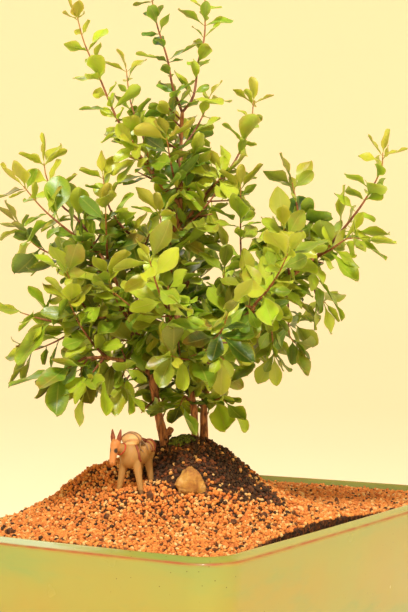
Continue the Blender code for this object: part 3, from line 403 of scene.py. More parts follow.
def leaf_faces(root, along, face, length, droop, fold, grow=0.0):
    """Return the points and faces of one leaf: a folded, curved blade narrowing to its stalk."""
    side = along.cross(face).normalized()
    normal = side.cross(along).normalized()
    width = length * LEAF_WIDTH_SHARE

    def blade_point(share, half, depth):
        bend = normal * (droop * length * share ** 2 + depth)
        return root + along * length * share + side * half - bend

    (near, near_half), (far, far_half) = LEAF_ROWS
    near_half = near_half * width + grow
    far_half = far_half * width + grow
    top = [
        blade_point(0, 0, 0),
        blade_point(near, -near_half, 0),
        blade_point(near, near_half, 0),
        blade_point(LEAF_FOLD_AT, 0, fold * near_half),
        blade_point(far, -far_half, 0),
        blade_point(far, far_half, 0),
        blade_point(1 + grow / length, 0, fold * far_half / 2),
    ]
    half_thickness = normal * (LEAF_THICKNESS / 2 + grow)
    corners = [point + half_thickness for point in top] + [point - half_thickness for point in top]
    count = len(top)
    plan = ((0, 3, 1), (0, 2, 3), (1, 3, 4), (2, 5, 3), (3, 6, 4), (3, 5, 6))
    faces = [list(item) for item in plan]
    faces += [[index + count for index in reversed(item)] for item in plan]
    outline = (0, 1, 4, 6, 5, 2)
    for index, corner in enumerate(outline):
        after = outline[(index + 1) % len(outline)]
        faces.append([after, corner, corner + count, after + count])
    return corners, faces


def box_faces(low, high):
    """Return the corners and faces of a box along the plant's axes, from its corners in mm."""
    corners = [spot(x, y, z) for z in (low[2], high[2]) for y in (low[1], high[1]) for x in (low[0], high[0])]
    faces = [[0, 1, 3, 2], [4, 5, 7, 6], [0, 1, 5, 4], [2, 3, 7, 6], [0, 2, 6, 4], [1, 3, 7, 5]]
    return corners, faces


class Clearance:
    """Remembers the shapes already placed, and tells whether a new one would cross them."""

    def __init__(self):
        self.shapes = []

    @staticmethod
    def measure(corners, faces):
        """Return a shape's search tree, its middle and how far it reaches from there."""
        middle = sum(corners, Vector()) / len(corners)
        reach = max((corner - middle).length for corner in corners)
        return BVHTree.FromPolygons(corners, faces), middle, reach

    def add(self, owner, corners, faces):
        """Remember a shape under its owner's name."""
        self.shapes.append((owner, *self.measure(corners, faces)))

    def add_route(self, owner, route, radii, sides):
        """Remember each stretch of a tube along a route."""
        for index, stretch in enumerate(zip(route, route[1:])):
            self.add(owner, *prism_faces(stretch, radii[index:index + 2], sides))

    def crosses(self, corners, faces, skip=()):
        """Tell whether a shape crosses any remembered one, apart from the owners to skip."""
        tree, middle, reach = self.measure(corners, faces)
        for owner, other, other_middle, other_reach in self.shapes:
            near = (middle - other_middle).length <= reach + other_reach
            if near and owner not in skip and tree.overlap(other):
                return True
        return False


def taper(count, start, end):
    """Return radii that go evenly from start to end."""
    return [start + (end - start) * index / (count - 1) for index in range(count)]


def filling_route(wood, share, turn, rise, length):
    """Return a gently rising route that leaves a woody route sideways."""
    points = route_points(WOOD_ROUTES[wood][0])
    start, _ = route_place(points, share * route_lengths(points)[-1])
    heading = math.radians(turn)
    level = ACROSS * math.sin(heading) + AWAY * math.cos(heading)
    route = [start]
    for step in range(FILLING_STEPS):
        climb = math.radians(rise + FILLING_CURL * step)
        direction = level * math.cos(climb) + UP * math.sin(climb)
        route.append(route[-1] + direction * length * MM / FILLING_STEPS)
    return route


def shoot_routes():
    """Return every leafy shoot's route in metres, drawn ones first."""
    routes = {name: route_points(points) for name, points in DRAWN_SHOOTS.items()}
    for name, plan in FILLING_SHOOTS.items():
        routes[name] = filling_route(*plan)
    return routes


def trim_start(route, clearance):
    """Shorten a route's start until its first stretch is clear of the wood by the usual gap."""
    lengths = route_lengths(route)
    distance = TRIM_FROM
    while distance < lengths[-1] / 2:
        start, direction = route_place(route, distance)
        tube = prism_faces([start - GAP * direction, start + TRIM_TEST * direction],
                           [SHOOT_RADII[0] + GAP] * 2, WOOD_SIDES)
        if not clearance.crosses(*tube):
            break
        distance += TRIM_STEP
    rest = [point for point, length in zip(route, lengths) if length > distance + ROUTE_SPACING]
    return [start] + rest


def grow_leaf(rng, base, stem, radius, heading, young, clearance, owner, pending):
    """Try seeded turns of one leaf until it is clear of everything, and return it or None."""
    for attempt in range(LEAF_TRIES):
        spread = LEAF_SPREAD * (1 - YOUNG_CLOSING * young) + rng.uniform(-SPREAD_DRAW, SPREAD_DRAW)
        spread = math.radians(spread)
        swing = math.radians(rng.uniform(-SWING_DRAW, SWING_DRAW) * (1 + attempt / 2))
        outward = Matrix.Rotation(swing, 3, stem) @ heading
        along = (stem * math.cos(spread) + outward * math.sin(spread)).normalized()
        along = (along + UP * rng.uniform(*LIFT_DRAW)).normalized()
        roll = math.radians(rng.uniform(-ROLL_DRAW, ROLL_DRAW))
        sky = UP - along * UP.dot(along)
        if sky.length < LEAST_SKY:
            sky = outward - along * outward.dot(along)
        face = Matrix.Rotation(roll, 3, along) @ sky.normalized()
        length = LEAF_LENGTH * rng.uniform(*LENGTH_DRAW)
        length *= (1 - YOUNG_SHRINK * young) * (1 - TRY_SHRINK * attempt)
        droop = rng.uniform(*DROOP_DRAW)
        fold = rng.uniform(*FOLD_DRAW)
        root = base + outward * radius * 0.1
        leaf = (root, along, face, length, droop, fold)
        corners, faces = leaf_faces(*leaf, grow=GAP)
        if clearance.crosses(corners, faces, skip=(owner,)):
            continue
        stalk = length * STALK_SHARE
        shape = leaf_faces(root + along * stalk, along, face, length - stalk, droop, fold)
        blade = BVHTree.FromPolygons(*shape)
        if any(blade.overlap(other) for other in pending):
            continue
        pending.append(blade)
        return leaf
    return None


def leaves_of_shoot(name, route, clearance):
    """Return the leaves of one shoot: opposite pairs, quarter-turned, and one at the tip."""
    rng = random.Random(LEAF_SEED + sum(ord(letter) for letter in name))
    total = route_lengths(route)[-1]
    twist = rng.uniform(0, math.pi)
    radii = taper(len(route), *SHOOT_RADII)
    pending = [BVHTree.FromPolygons(*prism_faces(route, radii, STEM_SIDES))]
    leaves = []
    pairs = max(2, round((total - FIRST_PAIR) / PAIR_SPACING))
    for pair in range(pairs):
        share = (FIRST_PAIR + (total - FIRST_PAIR - TIP_SPACE) * pair / (pairs - 1)) / total
        base, stem = route_place(route, share * total)
        radius = SHOOT_RADII[0] + (SHOOT_RADII[1] - SHOOT_RADII[0]) * share
        young = max(0.0, (share - YOUNG_FROM) / (1 - YOUNG_FROM)) * min(1.0, total / YOUNG_LENGTH)
        first = stem.orthogonal().normalized()
        turn = twist + pair * math.pi / 2
        for side in (0, math.pi):
            heading = Matrix.Rotation(turn + side, 3, stem) @ first
            leaf = grow_leaf(rng, base, stem, radius, heading, young, clearance, name, pending)
            if leaf:
                leaves.append(leaf)
    end, stem = route_place(route, total)
    tip = grow_leaf(rng, end - stem * SHOOT_RADII[1], stem, 0, stem, TIP_YOUTH, clearance, name, pending)
    if tip:
        leaves.append(tip)
    for leaf in leaves:
        clearance.add(name, *leaf_faces(*leaf))
    return leaves


def grow_plant():
    """Return the routes and leaves of every shoot, placed clear of the wood and of each other."""
    clearance = Clearance()
    clearance.add("pack_animal", *box_faces(*ANIMAL_ROOM))
    for points, start, end in WOOD_ROUTES.values():
        route = route_points(points)
        clearance.add_route("wood", route, taper(len(route), start * MM, end * MM), WOOD_SIDES)
    routes = {}
    for name, plan in shoot_routes().items():
        routes[name] = trim_start(plan, clearance)
        radii = taper(len(routes[name]), *SHOOT_RADII)
        clearance.add_route(name, routes[name], radii, STEM_SIDES)
    return {name: (route, leaves_of_shoot(name, route, clearance)) for name, route in routes.items()}


# Camera at the photograph's viewing angle
CAMERA_PLACE = (-0.771, -0.459, 0.213)
CAMERA_TURN = 58.25  # degrees from +Y towards +X
CAMERA_TILT = 0.47  # degrees upwards
CAMERA_LENS = 81.18

# Studio: the floor's section in metres, out from the middle and up, and the lights round a target
FLOOR_PROFILE = ((0.001, 0), (0.6, 0), (1.4, 0), (2.0, 0.02), (2.4, 0.13), (2.65, 0.35), (2.78, 0.7),
                 (2.8, 1.2), (2.8, 2.4))
FLOOR_SIDES = 96
LIGHT_TARGET = Vector((PLANT_FOOT.x, PLANT_FOOT.y, 0.2))
LIGHTS = (  # name, place from the target along the plant's own axes and up in metres, size, colour
    ("key", (-0.12, -1.14, 1.38), 0.3, (1.0, 0.97, 0.9)),
    ("fill", (1.36, -1.12, 0.56), 0.9, (1.0, 0.9, 0.66)),
    ("back", (-0.75, 1.35, 1.35), 0.8, (1.0, 0.97, 0.9)),
)
SKY_COLOUR = (1, 0.97, 0.9, 1)
SKY_STRENGTH = 0.25

# Fine leaf: rows along it and columns across it
BLADE_ROWS = np.array((0.0, 0.11, 0.19, 0.32, 0.46, 0.6, 0.74, 0.86, 0.95, 1.0))
BLADE_COLUMNS = np.array((-1.0, -0.5, 0.0, 0.5, 1.0))
BLADE_STALK = 0.11
BLADE_THICKNESS = 0.22 * MM
MIDRIB_SWELL = 1.2  # how much thicker the midrib is, as a share of the blade
SLIM_DRAW = (0.86, 1.18)
BEND_DRAW = (-0.05, 0.07)
TWIST_DRAW = (-0.3, 0.3)
RIPPLE = 0.06  # height of the waves in the edge, as a share of the length
RIPPLE_TURN = 9
RECURVE = 1.25
TONE_DRAW = (0, 0.75)
PAINTED_SHADE_RISE = 0.2  # how much brighter the crown's top is than its foot: painted shade on the lower leaves
BLEMISH_DRAW = (-1.4, 1)
BLEMISH_MOST = 0.75
FINE_SEED = 5

# Finer leaves and spurs between the main ones
CROWN_FRONT = -AWAY
FREE_LENGTHS = (13 * MM, 23 * MM)
FREE_SPREAD = (30, 70)  # degrees between a finer leaf and its shoot
SPUR_SPREAD = (38, 82)
FREE_LIFT_DRAW = (-0.35, 0.25)
HANG_DRAW = (0.2, 1.3)
HANG_SPAN = 40 * MM  # height over which the leaves start to hang
OUT_REACH = 70 * MM
SKY_DRAW = (0.35, 1.0)
FRONT_DRAW = (-0.2, 0.5)
FREE_DROOP_DRAW = (0.02, 0.28)
FREE_FOLD_DRAW = (0.05, 0.38)
FREE_TRIES = 4
SPUR_TRIES = 5
NEW_FROM = 0.7  # share of a shoot past which its finer leaves are new
NEW_SHRINK = 0.25
LEAF_CENTRE = 0.6  # share of a leaf's length where its middle counts as being
LEAVES_APART = 4.2 * MM
SPUR_LEAVES_APART = 4.0 * MM
OVER_GROUND = 9 * MM
BARE_BELOW = 58 * MM  # over the rim, under which the stems carry no spurs
HANGING_BELOW = 112 * MM  # over the rim, under which the leaves hang
CLEAR_BELOW = 68 * MM  # over the rim, under which no finer leaf covers the bare stems
CLEAR_REACH = 38 * MM
SPUR_SPACING = 6.2 * MM
SPUR_LENGTHS = (5 * MM, 20 * MM)
HIGH_FROM = 0.26  # height where the leaves start to be slighter, over a span of HIGH_SPAN
HIGH_SPAN = 0.1
HIGH_SHRINK = 0.22
FREE_HIGH_SHRINK = 0.35
FINE_SHOOT_RADII = (0.9 * MM, 0.7 * MM, 0.52 * MM, 0.34 * MM)
FINE_STEM_SIDES = 7
SPUR_RADII = (0.65 * MM, 0.55 * MM, 0.4 * MM)
LEAF_KINDS = {  # each kind of leaf, with the screen colour of its darkest parts
    "yellow_green": (96, 124, 28),
    "mid_green": (54, 84, 20),
    "dark_green": (38, 62, 18),
    "bright_green": (78, 112, 24),
}

# Dark grains round the stems' feet, partly damp humus and partly painted shadow of the crown: middle and
# reach, across and away
DAMP_SHADOW_MIDDLE = (8 * MM, -15 * MM)
DAMP_SHADOW_REACH = (50 * MM, 30 * MM)
DAMP_SHADOW_SLANT = 0.5

# Gravel grains
GRAIN_SIZE = (2.5, 0.45)  # usual size and spread in mm
GRAIN_SMALLEST = 1.5
GRAIN_LARGEST = 4.2
GRAIN_RISE = 0.22  # height of a grain's middle over the ground, as a share of its size
GRAIN_CLEAR = 0.42  # room kept to the stone and the animal, as a share of its size
GRAIN_SCATTER = 0.3  # how far a grain may stray from its row, as a share of the spacing
ROW_SPACING = 0.87  # as a share of the grain spacing
LAYER_INSET = 1.3 * MM
LOOSE_REACH = 80 * MM
LOOSE_LIFT = 1.1 * MM
EDGE_INSET = 1 * MM  # room between the grains and the pot's inner walls
CORNER_INSET = 6 * MM  # how much tighter the gravel's corners are than the rim's
DROP_FROM = 5 * MM  # over the mound, where a grain is let down
DROP_MOST = 16 * MM
DROP_REACH = 0.05
PATCH_SCALE = 45  # dark and light patches per metre
DAMP_SHADOW_EDGE = (1.1, 0.35, 3)  # where the damp, painted-shadow patch ends, how ragged its edge is, and how sharp
DARK_SHARE = 0.07  # of the grains, away from the damp patch
# Share of grains made dark inside that patch, for damp humus and painted shadow
DAMP_SHADOW_SHARE = 0.86
PATCH_SHARE = 0.14
TAN_FROM = 0.76
CHIP_LIFT = 1.8
CHIP_SHAPE = (0.22, 0.95)
MOSS_DROP = (4 * MM, 6 * MM)  # over and under the mound, where moss may take hold
MOSS_LIFT = (1.2, 1.6)  # mm at a cushion's edge, and how much more in its middle
MOSS_SIZES = (1.4, 2.8)
MOSS_SHAPE = (0.8, 1.2)
DUST = {"gravel_orange": 0.45, "gravel_tan": 0.45, "gravel_dark": 0.1}
CHIP_COUNT = 34
CHIP_LENGTHS = (4.2, 8)

# Shreds of bark that the front shows, and the moss cushions: across and away in mm, and for the
# cushions their reach in mm and how many tufts they have
CHIPS_IN_FRONT = ((-22, -51), (16, -112), (31, -106), (-6, -72), (-62, -60), (44, -58), (62, -44),
                  (-30, -92))
MOSS_CUSHIONS = ((-4, -7, 8, 190), (-2, 3, 6, 90), (3, 14, 7, 90), (-24, 12, 6, 60))

# Planes that break the stone's faces off: outward way in the plant's own axes, then the share kept
STONE_CUTS = (((-0.55, -0.75, 0.35), 0.74), ((0.62, -0.72, 0.3), 0.78), ((-0.8, -0.1, 0.6), 0.7),
              ((0.92, -0.05, 0.4), 0.8), ((0.1, -0.5, 0.86), 0.86), ((0.2, 0.7, 0.68), 0.76),
              ((-0.75, 0.6, 0.3), 0.78), ((0.7, 0.66, 0.25), 0.8))


# Fineness and relief of the wood, the stone and the clay
BARK_FACE = 0.62 * MM
BARK_SIDES = 14
ROOT_SIDES = 28
GIRTH_DRAW = (0.94, 1.07)
BARK_SWELL = (90, 0.25)  # lumps per metre, and their height in mm
BARK_GRAIN = (620, 130)  # ridges per metre round a stem and along it
STONE_FACE = 0.5 * MM
STONE_RIDGES = (110, 0.5, 2.4)  # per metre, their crests' height in mm and their depth
STONE_GRAIN = (430, 0.4)
CLAY_FACE = 0.45 * MM

# The stems' foot: depth under the top of the mound and radius there, in mm
ROOT_CROWN = ((24, 17.8), (12, 18.4), (7, 18.6), (3, 16.8), (0.4, 11.5))


def shade(red, green, blue):
    """Return a screen colour, 0 to 255, as linear light with alpha, for a shader's socket."""
    return tuple((max(c, 10) / 255 + 0.055) ** 2.4 / 1.055 ** 2.4 for c in (red, green, blue)) + (1.0,)


def colour_setting(name, description, *default):
    """Return a colour property with its default as a screen colour."""
    return FloatVectorProperty(name=name, description=description, subtype="COLOR", size=4, min=0, max=1,
                               default=shade(*default))


class BonsaiPotSettings(bpy.types.PropertyGroup):
    """Colours of the glazed pot."""

    glaze: colour_setting("Glaze", "Main colour of the glaze", 156, 157, 71)
    warm: colour_setting("Warm glaze", "Where the glaze is thin and yellow", 166, 150, 64)
    green: colour_setting("Pooled glaze", "Where the glaze has pooled and is green", 130, 154, 80)
    arris: colour_setting("Arris", "Brown clay that shows along the rim's outer edge", 160, 88, 42)


class BonsaiGravelSettings(bpy.types.PropertyGroup):
    """Size and colours of the gravel grains."""

    pitch: FloatProperty(name="Grain spacing", description="Distance between neighbouring grains",
                         default=2.35 * MM, min=1.5 * MM, subtype="DISTANCE", unit="LENGTH")
    loose: IntProperty(name="Loose grains", description="Grains that lie on top of the even layer",
                       default=2600, min=0)
    orange: colour_setting("Orange grains", "Most of the fired-clay grains", 220, 126, 50)
    tan: colour_setting("Tan grains", "The paler grains", 232, 164, 84)
    # Near-black: partly the dark grains' own colour, partly painted shade for the crown's shadow
    dark: colour_setting("Dark grains", "The darkest grains", 46, 26, 14)


class BonsaiWoodSettings(bpy.types.PropertyGroup):
    """Bark of the stems, and skin of the young shoots."""

    bark: colour_setting("Bark", "Ridges of the bark", 188, 122, 70)
    furrow: colour_setting("Furrows", "Furrows of the bark", 74, 36, 20)
    shoot: colour_setting("Young shoots", "Skin of the young shoots", 146, 86, 50)
    grain: FloatProperty(name="Bark relief", description="Height of the bark's ridges", default=0.3 * MM,
                         min=0, subtype="DISTANCE", unit="LENGTH")


class BonsaiLeafSettings(bpy.types.PropertyGroup):
    """Colours of the leaves, and how densely the finer ones grow between the main ones."""

    spacing: FloatProperty(name="Spacing", description="Distance between the finer leaves on a shoot",
                           default=4.6 * MM, min=2 * MM, subtype="DISTANCE", unit="LENGTH")
    yellow_green: colour_setting("Yellow green", "Leaves in their first year", 176, 198, 46)
    mid_green: colour_setting("Mid green", "Most of the leaves", 142, 174, 36)
    dark_green: colour_setting("Dark green", "The oldest leaves", 100, 140, 32)
    bright_green: colour_setting("Bright green", "Leaves in full light", 164, 192, 42)
    young: colour_setting("Young tips", "Reddish gold of the newest leaves", 192, 150, 48)


class BonsaiOrnamentSettings(bpy.types.PropertyGroup):
    """Colours of the stone and of the clay pack animal."""

    stone: colour_setting("Stone", "Main colour of the stone", 188, 138, 62)
    coat: colour_setting("Coat", "Painted coat of the animal", 170, 125, 66)
    ears: colour_setting("Ears", "Red-brown of the ears and the straps", 132, 56, 28)
    cloth: colour_setting("Load", "Cloth of the load", 220, 170, 108)


class BonsaiStageSettings(bpy.types.PropertyGroup):
    """Plain pale studio round the part."""

    floor: colour_setting("Floor", "Floor and backdrop", 247, 231, 192)
    key: FloatProperty(name="Key light", description="Power of the key light", default=34, min=0,
                       unit="POWER")
    fill: FloatProperty(name="Fill light", description="Power of the fill light", default=4.8, min=0,
                        unit="POWER")


class Finish:
    """Builds one procedural material, node by node."""

    def __init__(self, name, roughness):
        self.material = bpy.data.materials.new(name)
        self.material.use_nodes = True
        self.tree = self.material.node_tree
        self.shader = self.tree.nodes["Principled BSDF"]
        self.shader.inputs["Roughness"].default_value = roughness
        self.place = self.add("ShaderNodeTexCoord").outputs["Object"]

    def add(self, kind, **settings):
        """Add a node with its settings."""
        node = self.tree.nodes.new(kind)
        for key, value in settings.items():
            setattr(node, key, value)
        return node

    def feed(self, socket, value):
        """Link an output to a socket, or set the socket's own value."""
        if isinstance(value, bpy.types.NodeSocket):
            self.tree.links.new(value, socket)
        else:
            socket.default_value = value

    def stretched(self, stretch):
        """Return object coordinates scaled along each axis."""
        if stretch is None:
            return self.place
        mapping = self.add("ShaderNodeMapping")
        self.feed(mapping.inputs["Vector"], self.place)
        mapping.inputs["Scale"].default_value = stretch
        return mapping.outputs["Vector"]

    def cloud(self, scale, detail=3.0, roughness=0.5, stretch=None):
        """Return soft noise of a scale per metre, 0 to 1."""
        texture = self.add("ShaderNodeTexNoise")
        self.feed(texture.inputs["Vector"], self.stretched(stretch))
        texture.inputs["Scale"].default_value = scale
        texture.inputs["Detail"].default_value = detail
        texture.inputs["Roughness"].default_value = roughness
        return texture.outputs["Fac"]

    def cells(self, scale, feature="F1", output="Distance", stretch=None):
        """Return a cell pattern of a scale per metre."""
        texture = self.add("ShaderNodeTexVoronoi", feature=feature)
        self.feed(texture.inputs["Vector"], self.stretched(stretch))
        texture.inputs["Scale"].default_value = scale
        return texture.outputs[output]

    def ramp(self, source, *stops):
        """Return a source turned into colours or grey steps, one for each (place, value)."""
        node = self.add("ShaderNodeValToRGB")
        self.feed(node.inputs["Fac"], source)
        elements = node.color_ramp.elements
        while len(elements) < len(stops):
            elements.new(0.5)
        for element, (place, value) in zip(elements, stops):
            element.position = place
            element.color = value if hasattr(value, "__len__") else (value, value, value, 1)
        return node.outputs["Color"]

    def mix(self, share, first, second):
        """Return two colours mixed."""
        node = self.add("ShaderNodeMix", data_type="RGBA", blend_type="MIX")
        for index, value in ((0, share), (6, first), (7, second)):
            self.feed(node.inputs[index], value)
        return node.outputs[2]

    def stain(self, colour, pattern, low, high, tint):
        """Return a colour under a tint: low and high give places in a pattern with the tint's share there."""
        return self.mix(self.ramp(pattern, low, high), colour, tint)

    def sum(self, operation, first, second=0.0):
        """Return a sum of two values."""
        node = self.add("ShaderNodeMath", operation=operation)
        self.feed(node.inputs[0], first)
        self.feed(node.inputs[1], second)
        return node.outputs[0]

    def value(self, name, output="Fac"):
        """Return a value kept on the mesh's points."""
        return self.add("ShaderNodeAttribute", attribute_name=name).outputs[output]

    def parts(self, name):
        """Return the three numbers of a vector kept on the mesh's points."""
        node = self.add("ShaderNodeSeparateXYZ")
        self.feed(node.inputs[0], self.value(name, "Vector"))
        return node.outputs[0], node.outputs[1], node.outputs[2]

    def bump(self, height, strength, distance):
        """Add relief from a height."""
        node = self.add("ShaderNodeBump")
        node.inputs["Strength"].default_value = strength
        node.inputs["Distance"].default_value = distance
        self.feed(node.inputs["Height"], height)
        previous = self.shader.inputs["Normal"]
        if previous.is_linked:
            self.feed(node.inputs["Normal"], previous.links[0].from_socket)
        self.feed(previous, node.outputs["Normal"])

    def done(self, colour, roughness=None, **sockets):
        """Connect the colour, set the plain sockets and return the material."""
        self.feed(self.shader.inputs["Base Color"], colour)
        if roughness is not None:
            self.feed(self.shader.inputs["Roughness"], roughness)
        for name, value in sockets.items():
            self.shader.inputs[name.replace("_", " ")].default_value = value
        return self.material


def glaze_material(settings):
    """Glossy celadon over a warm body: pooled green, brown where it is thin, and pinholes."""
    skin = Finish("celadon_glaze", 0.2)
    glaze, warm, green = settings.glaze, settings.warm, settings.green
    drift = skin.cloud(11, 4, 0.55)
    body = skin.ramp(drift, (0.36, glaze), (0.62, warm))
    runs = skin.cloud(16, 4, 0.55, (1, 1, 3.2))
    body = skin.stain(body, runs, (0.5, 0.0), (0.7, 0.6), green)
    brushed = skin.cloud(24, 5, 0.6, (0.25, 0.25, 4))
    body = skin.stain(body, brushed, (0.55, 0.0), (0.72, 0.35), warm)
    body = skin.mix(skin.value("pool"), body, green)
    pin = skin.ramp(skin.cells(210), (0.05, 1.0), (0.08, 0.0))
    patchy = skin.ramp(skin.cloud(26, 2), (0.52, 0.0), (0.62, 1.0))
    body = skin.mix(skin.sum("MULTIPLY", pin, patchy), body, shade(96, 74, 36))
    wear = skin.sum("MULTIPLY", skin.value("arris"), skin.ramp(skin.cloud(90, 3), (0.25, 0.45), (0.6, 1.0)))
    body = skin.mix(wear, body, settings.arris)
    skin.bump(skin.cloud(55, 2), 0.12, 1.2 * MM)
    skin.bump(pin, 0.1, 0.2 * MM)
    rough = skin.ramp(skin.cloud(40, 3), (0.3, 0.12), (0.75, 0.3))
    rough = skin.mix(wear, rough, (0.55, 0.55, 0.55, 1))
    return skin.done(body, rough, Coat_Weight=0.35, Coat_Roughness=0.06)


def soil_material(settings):
    """Damp fine crumbs under and between the grains: their dark tones are partly their own and partly painted
    shade in the gaps, with darker patches of painted shadow.
    """
    skin = Finish("damp_crumbs", 0.95)
    crumbs = skin.cells(520, "F1", "Color")
    tint = skin.ramp(crumbs, (0.1, settings.dark), (0.5, shade(78, 40, 18)), (0.9, shade(146, 80, 36)))
    skin.bump(skin.cells(520), 0.8, 1.2 * MM)
    # Painted shadow: dark patches laid over the crumbs.
    return skin.done(skin.stain(tint, skin.cloud(60, 3), (0.3, 0.35), (0.7, 0.0), shade(48, 24, 12)))


def grain_material(name, stops, dusty, settings):
    """Matt fired-clay grains: each has its own tone, with dust and pits."""
    skin = Finish(name, 0.88)
    colour = skin.ramp(skin.value("tone"), *stops)
    colour = skin.stain(colour, skin.cloud(900, 3, 0.6), (0.35, 0.0), (0.7, dusty), settings.tan)
    colour = skin.stain(colour, skin.cloud(1500, 2), (0.3, 0.5), (0.45, 0.0), shade(92, 44, 18))
    skin.bump(skin.cloud(1300, 3, 0.6), 0.6, 0.35 * MM)
    return skin.done(colour)


def chip_material():
    """Dark shreds of bark with a fibrous grain."""
    skin = Finish("bark_chip", 0.85)
    fibre = skin.cloud(700, 4, 0.6, (1, 1, 0.25))
    skin.bump(fibre, 0.7, 0.4 * MM)
    return skin.done(skin.ramp(fibre, (0.3, shade(44, 22, 10)), (0.7, shade(128, 76, 36))))


def moss_material():
    """Short velvety moss."""
    skin = Finish("moss", 0.95)
    tuft = skin.cloud(800, 3, 0.6)
    skin.bump(skin.cells(1400), 0.8, 0.5 * MM)
    return skin.done(skin.ramp(tuft, (0.3, shade(50, 62, 12)), (0.55, shade(104, 116, 28)),
                               (0.75, shade(150, 148, 46))))


def stone_material(settings):
    """Rough tan stone: mottled, with dark cracks and sandy pits."""
    skin = Finish("tan_stone", 0.9)
    mottled = skin.cloud(110, 5, 0.6)
    colour = skin.ramp(mottled, (0.32, shade(158, 100, 50)), (0.5, settings.stone),
                       (0.68, shade(220, 174, 108)))
    strata = skin.cloud(90, 5, 0.65, (0.4, 0.4, 3))
    colour = skin.stain(colour, strata, (0.55, 0.0), (0.64, 0.6), shade(122, 76, 38))
    skin.bump(mottled, 0.6, 1.4 * MM)
    skin.bump(skin.cloud(700, 3, 0.65), 0.5, 0.35 * MM)
    return skin.done(colour)


def bark_material(settings):
    """Red-brown bark: long furrows, peeling plates and a little grey bloom."""
    skin = Finish("bark", 0.86)
    furrows = skin.cloud(420, 5, 0.6, (1, 1, 0.22))
    colour = skin.ramp(furrows, (0.34, settings.furrow), (0.52, settings.bark),
                       (0.72, shade(190, 128, 82)))
    plates = skin.cells(260, "DISTANCE_TO_EDGE", stretch=(1, 1, 0.3))
    colour = skin.stain(colour, plates, (0.0, 0.6), (0.12, 0.0), settings.furrow)
    colour = skin.stain(colour, skin.cloud(150, 3), (0.56, 0.0), (0.7, 0.4), shade(176, 150, 116))
    skin.bump(furrows, 0.8, 0.8 * MM)
    return skin.done(colour)


def shoot_material(settings):
    """Skin of young shoots: red-brown, tan towards the tip, with dark nodes and fine lenticels."""
    skin = Finish("shoot_skin", 0.55)
    _, along, _ = skin.parts("leaf_place")
    colour = skin.ramp(along, (0.0, shade(112, 60, 34)), (0.55, settings.shoot),
                       (1.0, shade(176, 128, 54)))
    colour = skin.stain(colour, skin.cells(900), (0.12, 0.5), (0.2, 0.0), shade(206, 160, 100))
    nodes = skin.sum("SINE", skin.sum("MULTIPLY", along, 52.0))
    colour = skin.stain(colour, nodes, (0.86, 0.0), (0.97, 0.75), shade(88, 42, 24))
    skin.bump(skin.cloud(900, 3, 0.5, (1, 1, 0.3)), 0.4, 0.25 * MM)
    return skin.done(colour)


def leaf_material(name, colour, deep, young):
    """Leathery leaf: its own tone, a pale midrib with side veins, a dull underside, red-gold when new."""
    skin = Finish(name, 0.4)
    across, along, tone = skin.parts("leaf_place")
    newness, under, blemish = skin.parts("leaf_age")
    # The tone holds painted shade: leaves low in the crown are darker.
    drift = skin.sum("ADD", tone, skin.sum("MULTIPLY", skin.cloud(90, 3), 0.3))
    surface = skin.ramp(drift, (0.2, deep), (0.75, colour), (1.15, shade(176, 190, 54)))
    blush = skin.sum("MULTIPLY", skin.ramp(along, (0.3, 0.25), (1.0, 1.0)), blemish)
    blush = skin.sum("MULTIPLY", blush, skin.ramp(skin.cloud(130, 3), (0.4, 0.15), (0.6, 1.0)))
    surface = skin.mix(blush, surface, shade(160, 112, 48))
    surface = skin.mix(newness, surface, young)
    edge = skin.sum("ABSOLUTE", across)
    midrib = skin.ramp(edge, (0.0, 0.4), (0.09, 0.0))
    slant = skin.sum("SUBTRACT", skin.sum("MULTIPLY", along, 62.0), skin.sum("MULTIPLY", edge, 9.0))
    wave = skin.sum("SINE", slant)
    veins = skin.ramp(wave, (0.88, 0.0), (1.0, 0.1))
    veined = skin.mix(midrib, skin.mix(veins, surface, shade(180, 188, 90)), shade(190, 184, 88))
    dull = skin.mix(0.35, veined, shade(128, 140, 66))
    colour = skin.mix(under, veined, dull)
    skin.bump(skin.sum("SUBTRACT", 0.0, skin.sum("MAXIMUM", midrib, veins)), 0.5, 0.35 * MM)
    skin.bump(skin.cloud(420, 2), 0.18, 0.4 * MM)
    rough = skin.mix(under, (0.36, 0.36, 0.36, 1), (0.6, 0.6, 0.6, 1))
    return skin.done(colour, rough, Subsurface_Weight=0.4, Subsurface_Radius=(0.7, 1.0, 0.25),
                     Subsurface_Scale=1.2 * MM)


def paint_material():
    """Painted fired clay: the paint on the points, with random patches where it is rubbed thin and where it
    is dusty.
    """
    skin = Finish("painted_clay", 0.62)
    colour = skin.value("paint", "Color")
    colour = skin.stain(colour, skin.cloud(360, 4, 0.6), (0.56, 0.0), (0.72, 0.4), shade(206, 132, 74))
    colour = skin.stain(colour, skin.cloud(160, 3), (0.5, 0.0), (0.75, 0.3), shade(150, 112, 72))
    skin.bump(skin.cloud(700, 3), 0.35, 0.3 * MM)
    return skin.done(colour)


def floor_material(settings):
    """Plain pale floor and backdrop."""
    skin = Finish("pale_floor", 0.9)
    colour = skin.stain(settings.floor, skin.cloud(3, 2), (0.3, 0.0), (0.7, 0.06), shade(243, 226, 184))
    skin.feed(skin.shader.inputs["Emission Color"], colour)
    skin.shader.inputs["Emission Strength"].default_value = 0.3
    return skin.done(colour)


def linked(name, data):
    """Return a new object with its data, linked to the scene."""
    obj = bpy.data.objects.new(name, data)
    bpy.context.scene.collection.objects.link(obj)
    return obj


def linked_mesh(name, bm):
    """Return a new object made of a working mesh, which is freed."""
    mesh = bpy.data.meshes.new(name)
    bm.to_mesh(mesh)
    bm.free()
    return linked(name, mesh)


def add_piece(name, mesh, slot, *materials):
    """Link a mesh as a piece that rides with the pot, with its materials; the slot argument is not used."""
    piece = linked(name, mesh)
    for material in materials:
        mesh.materials.append(material)
    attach(piece, "root")
    return piece


def mesh_of(name, points, faces, smooth=True):
    """Return a mesh of points and faces."""
    mesh = bpy.data.meshes.new(name)
    mesh.from_pydata(points, [], faces)
    mesh.update()
    mesh.polygons.foreach_set("use_smooth", [smooth] * len(mesh.polygons))
    return mesh


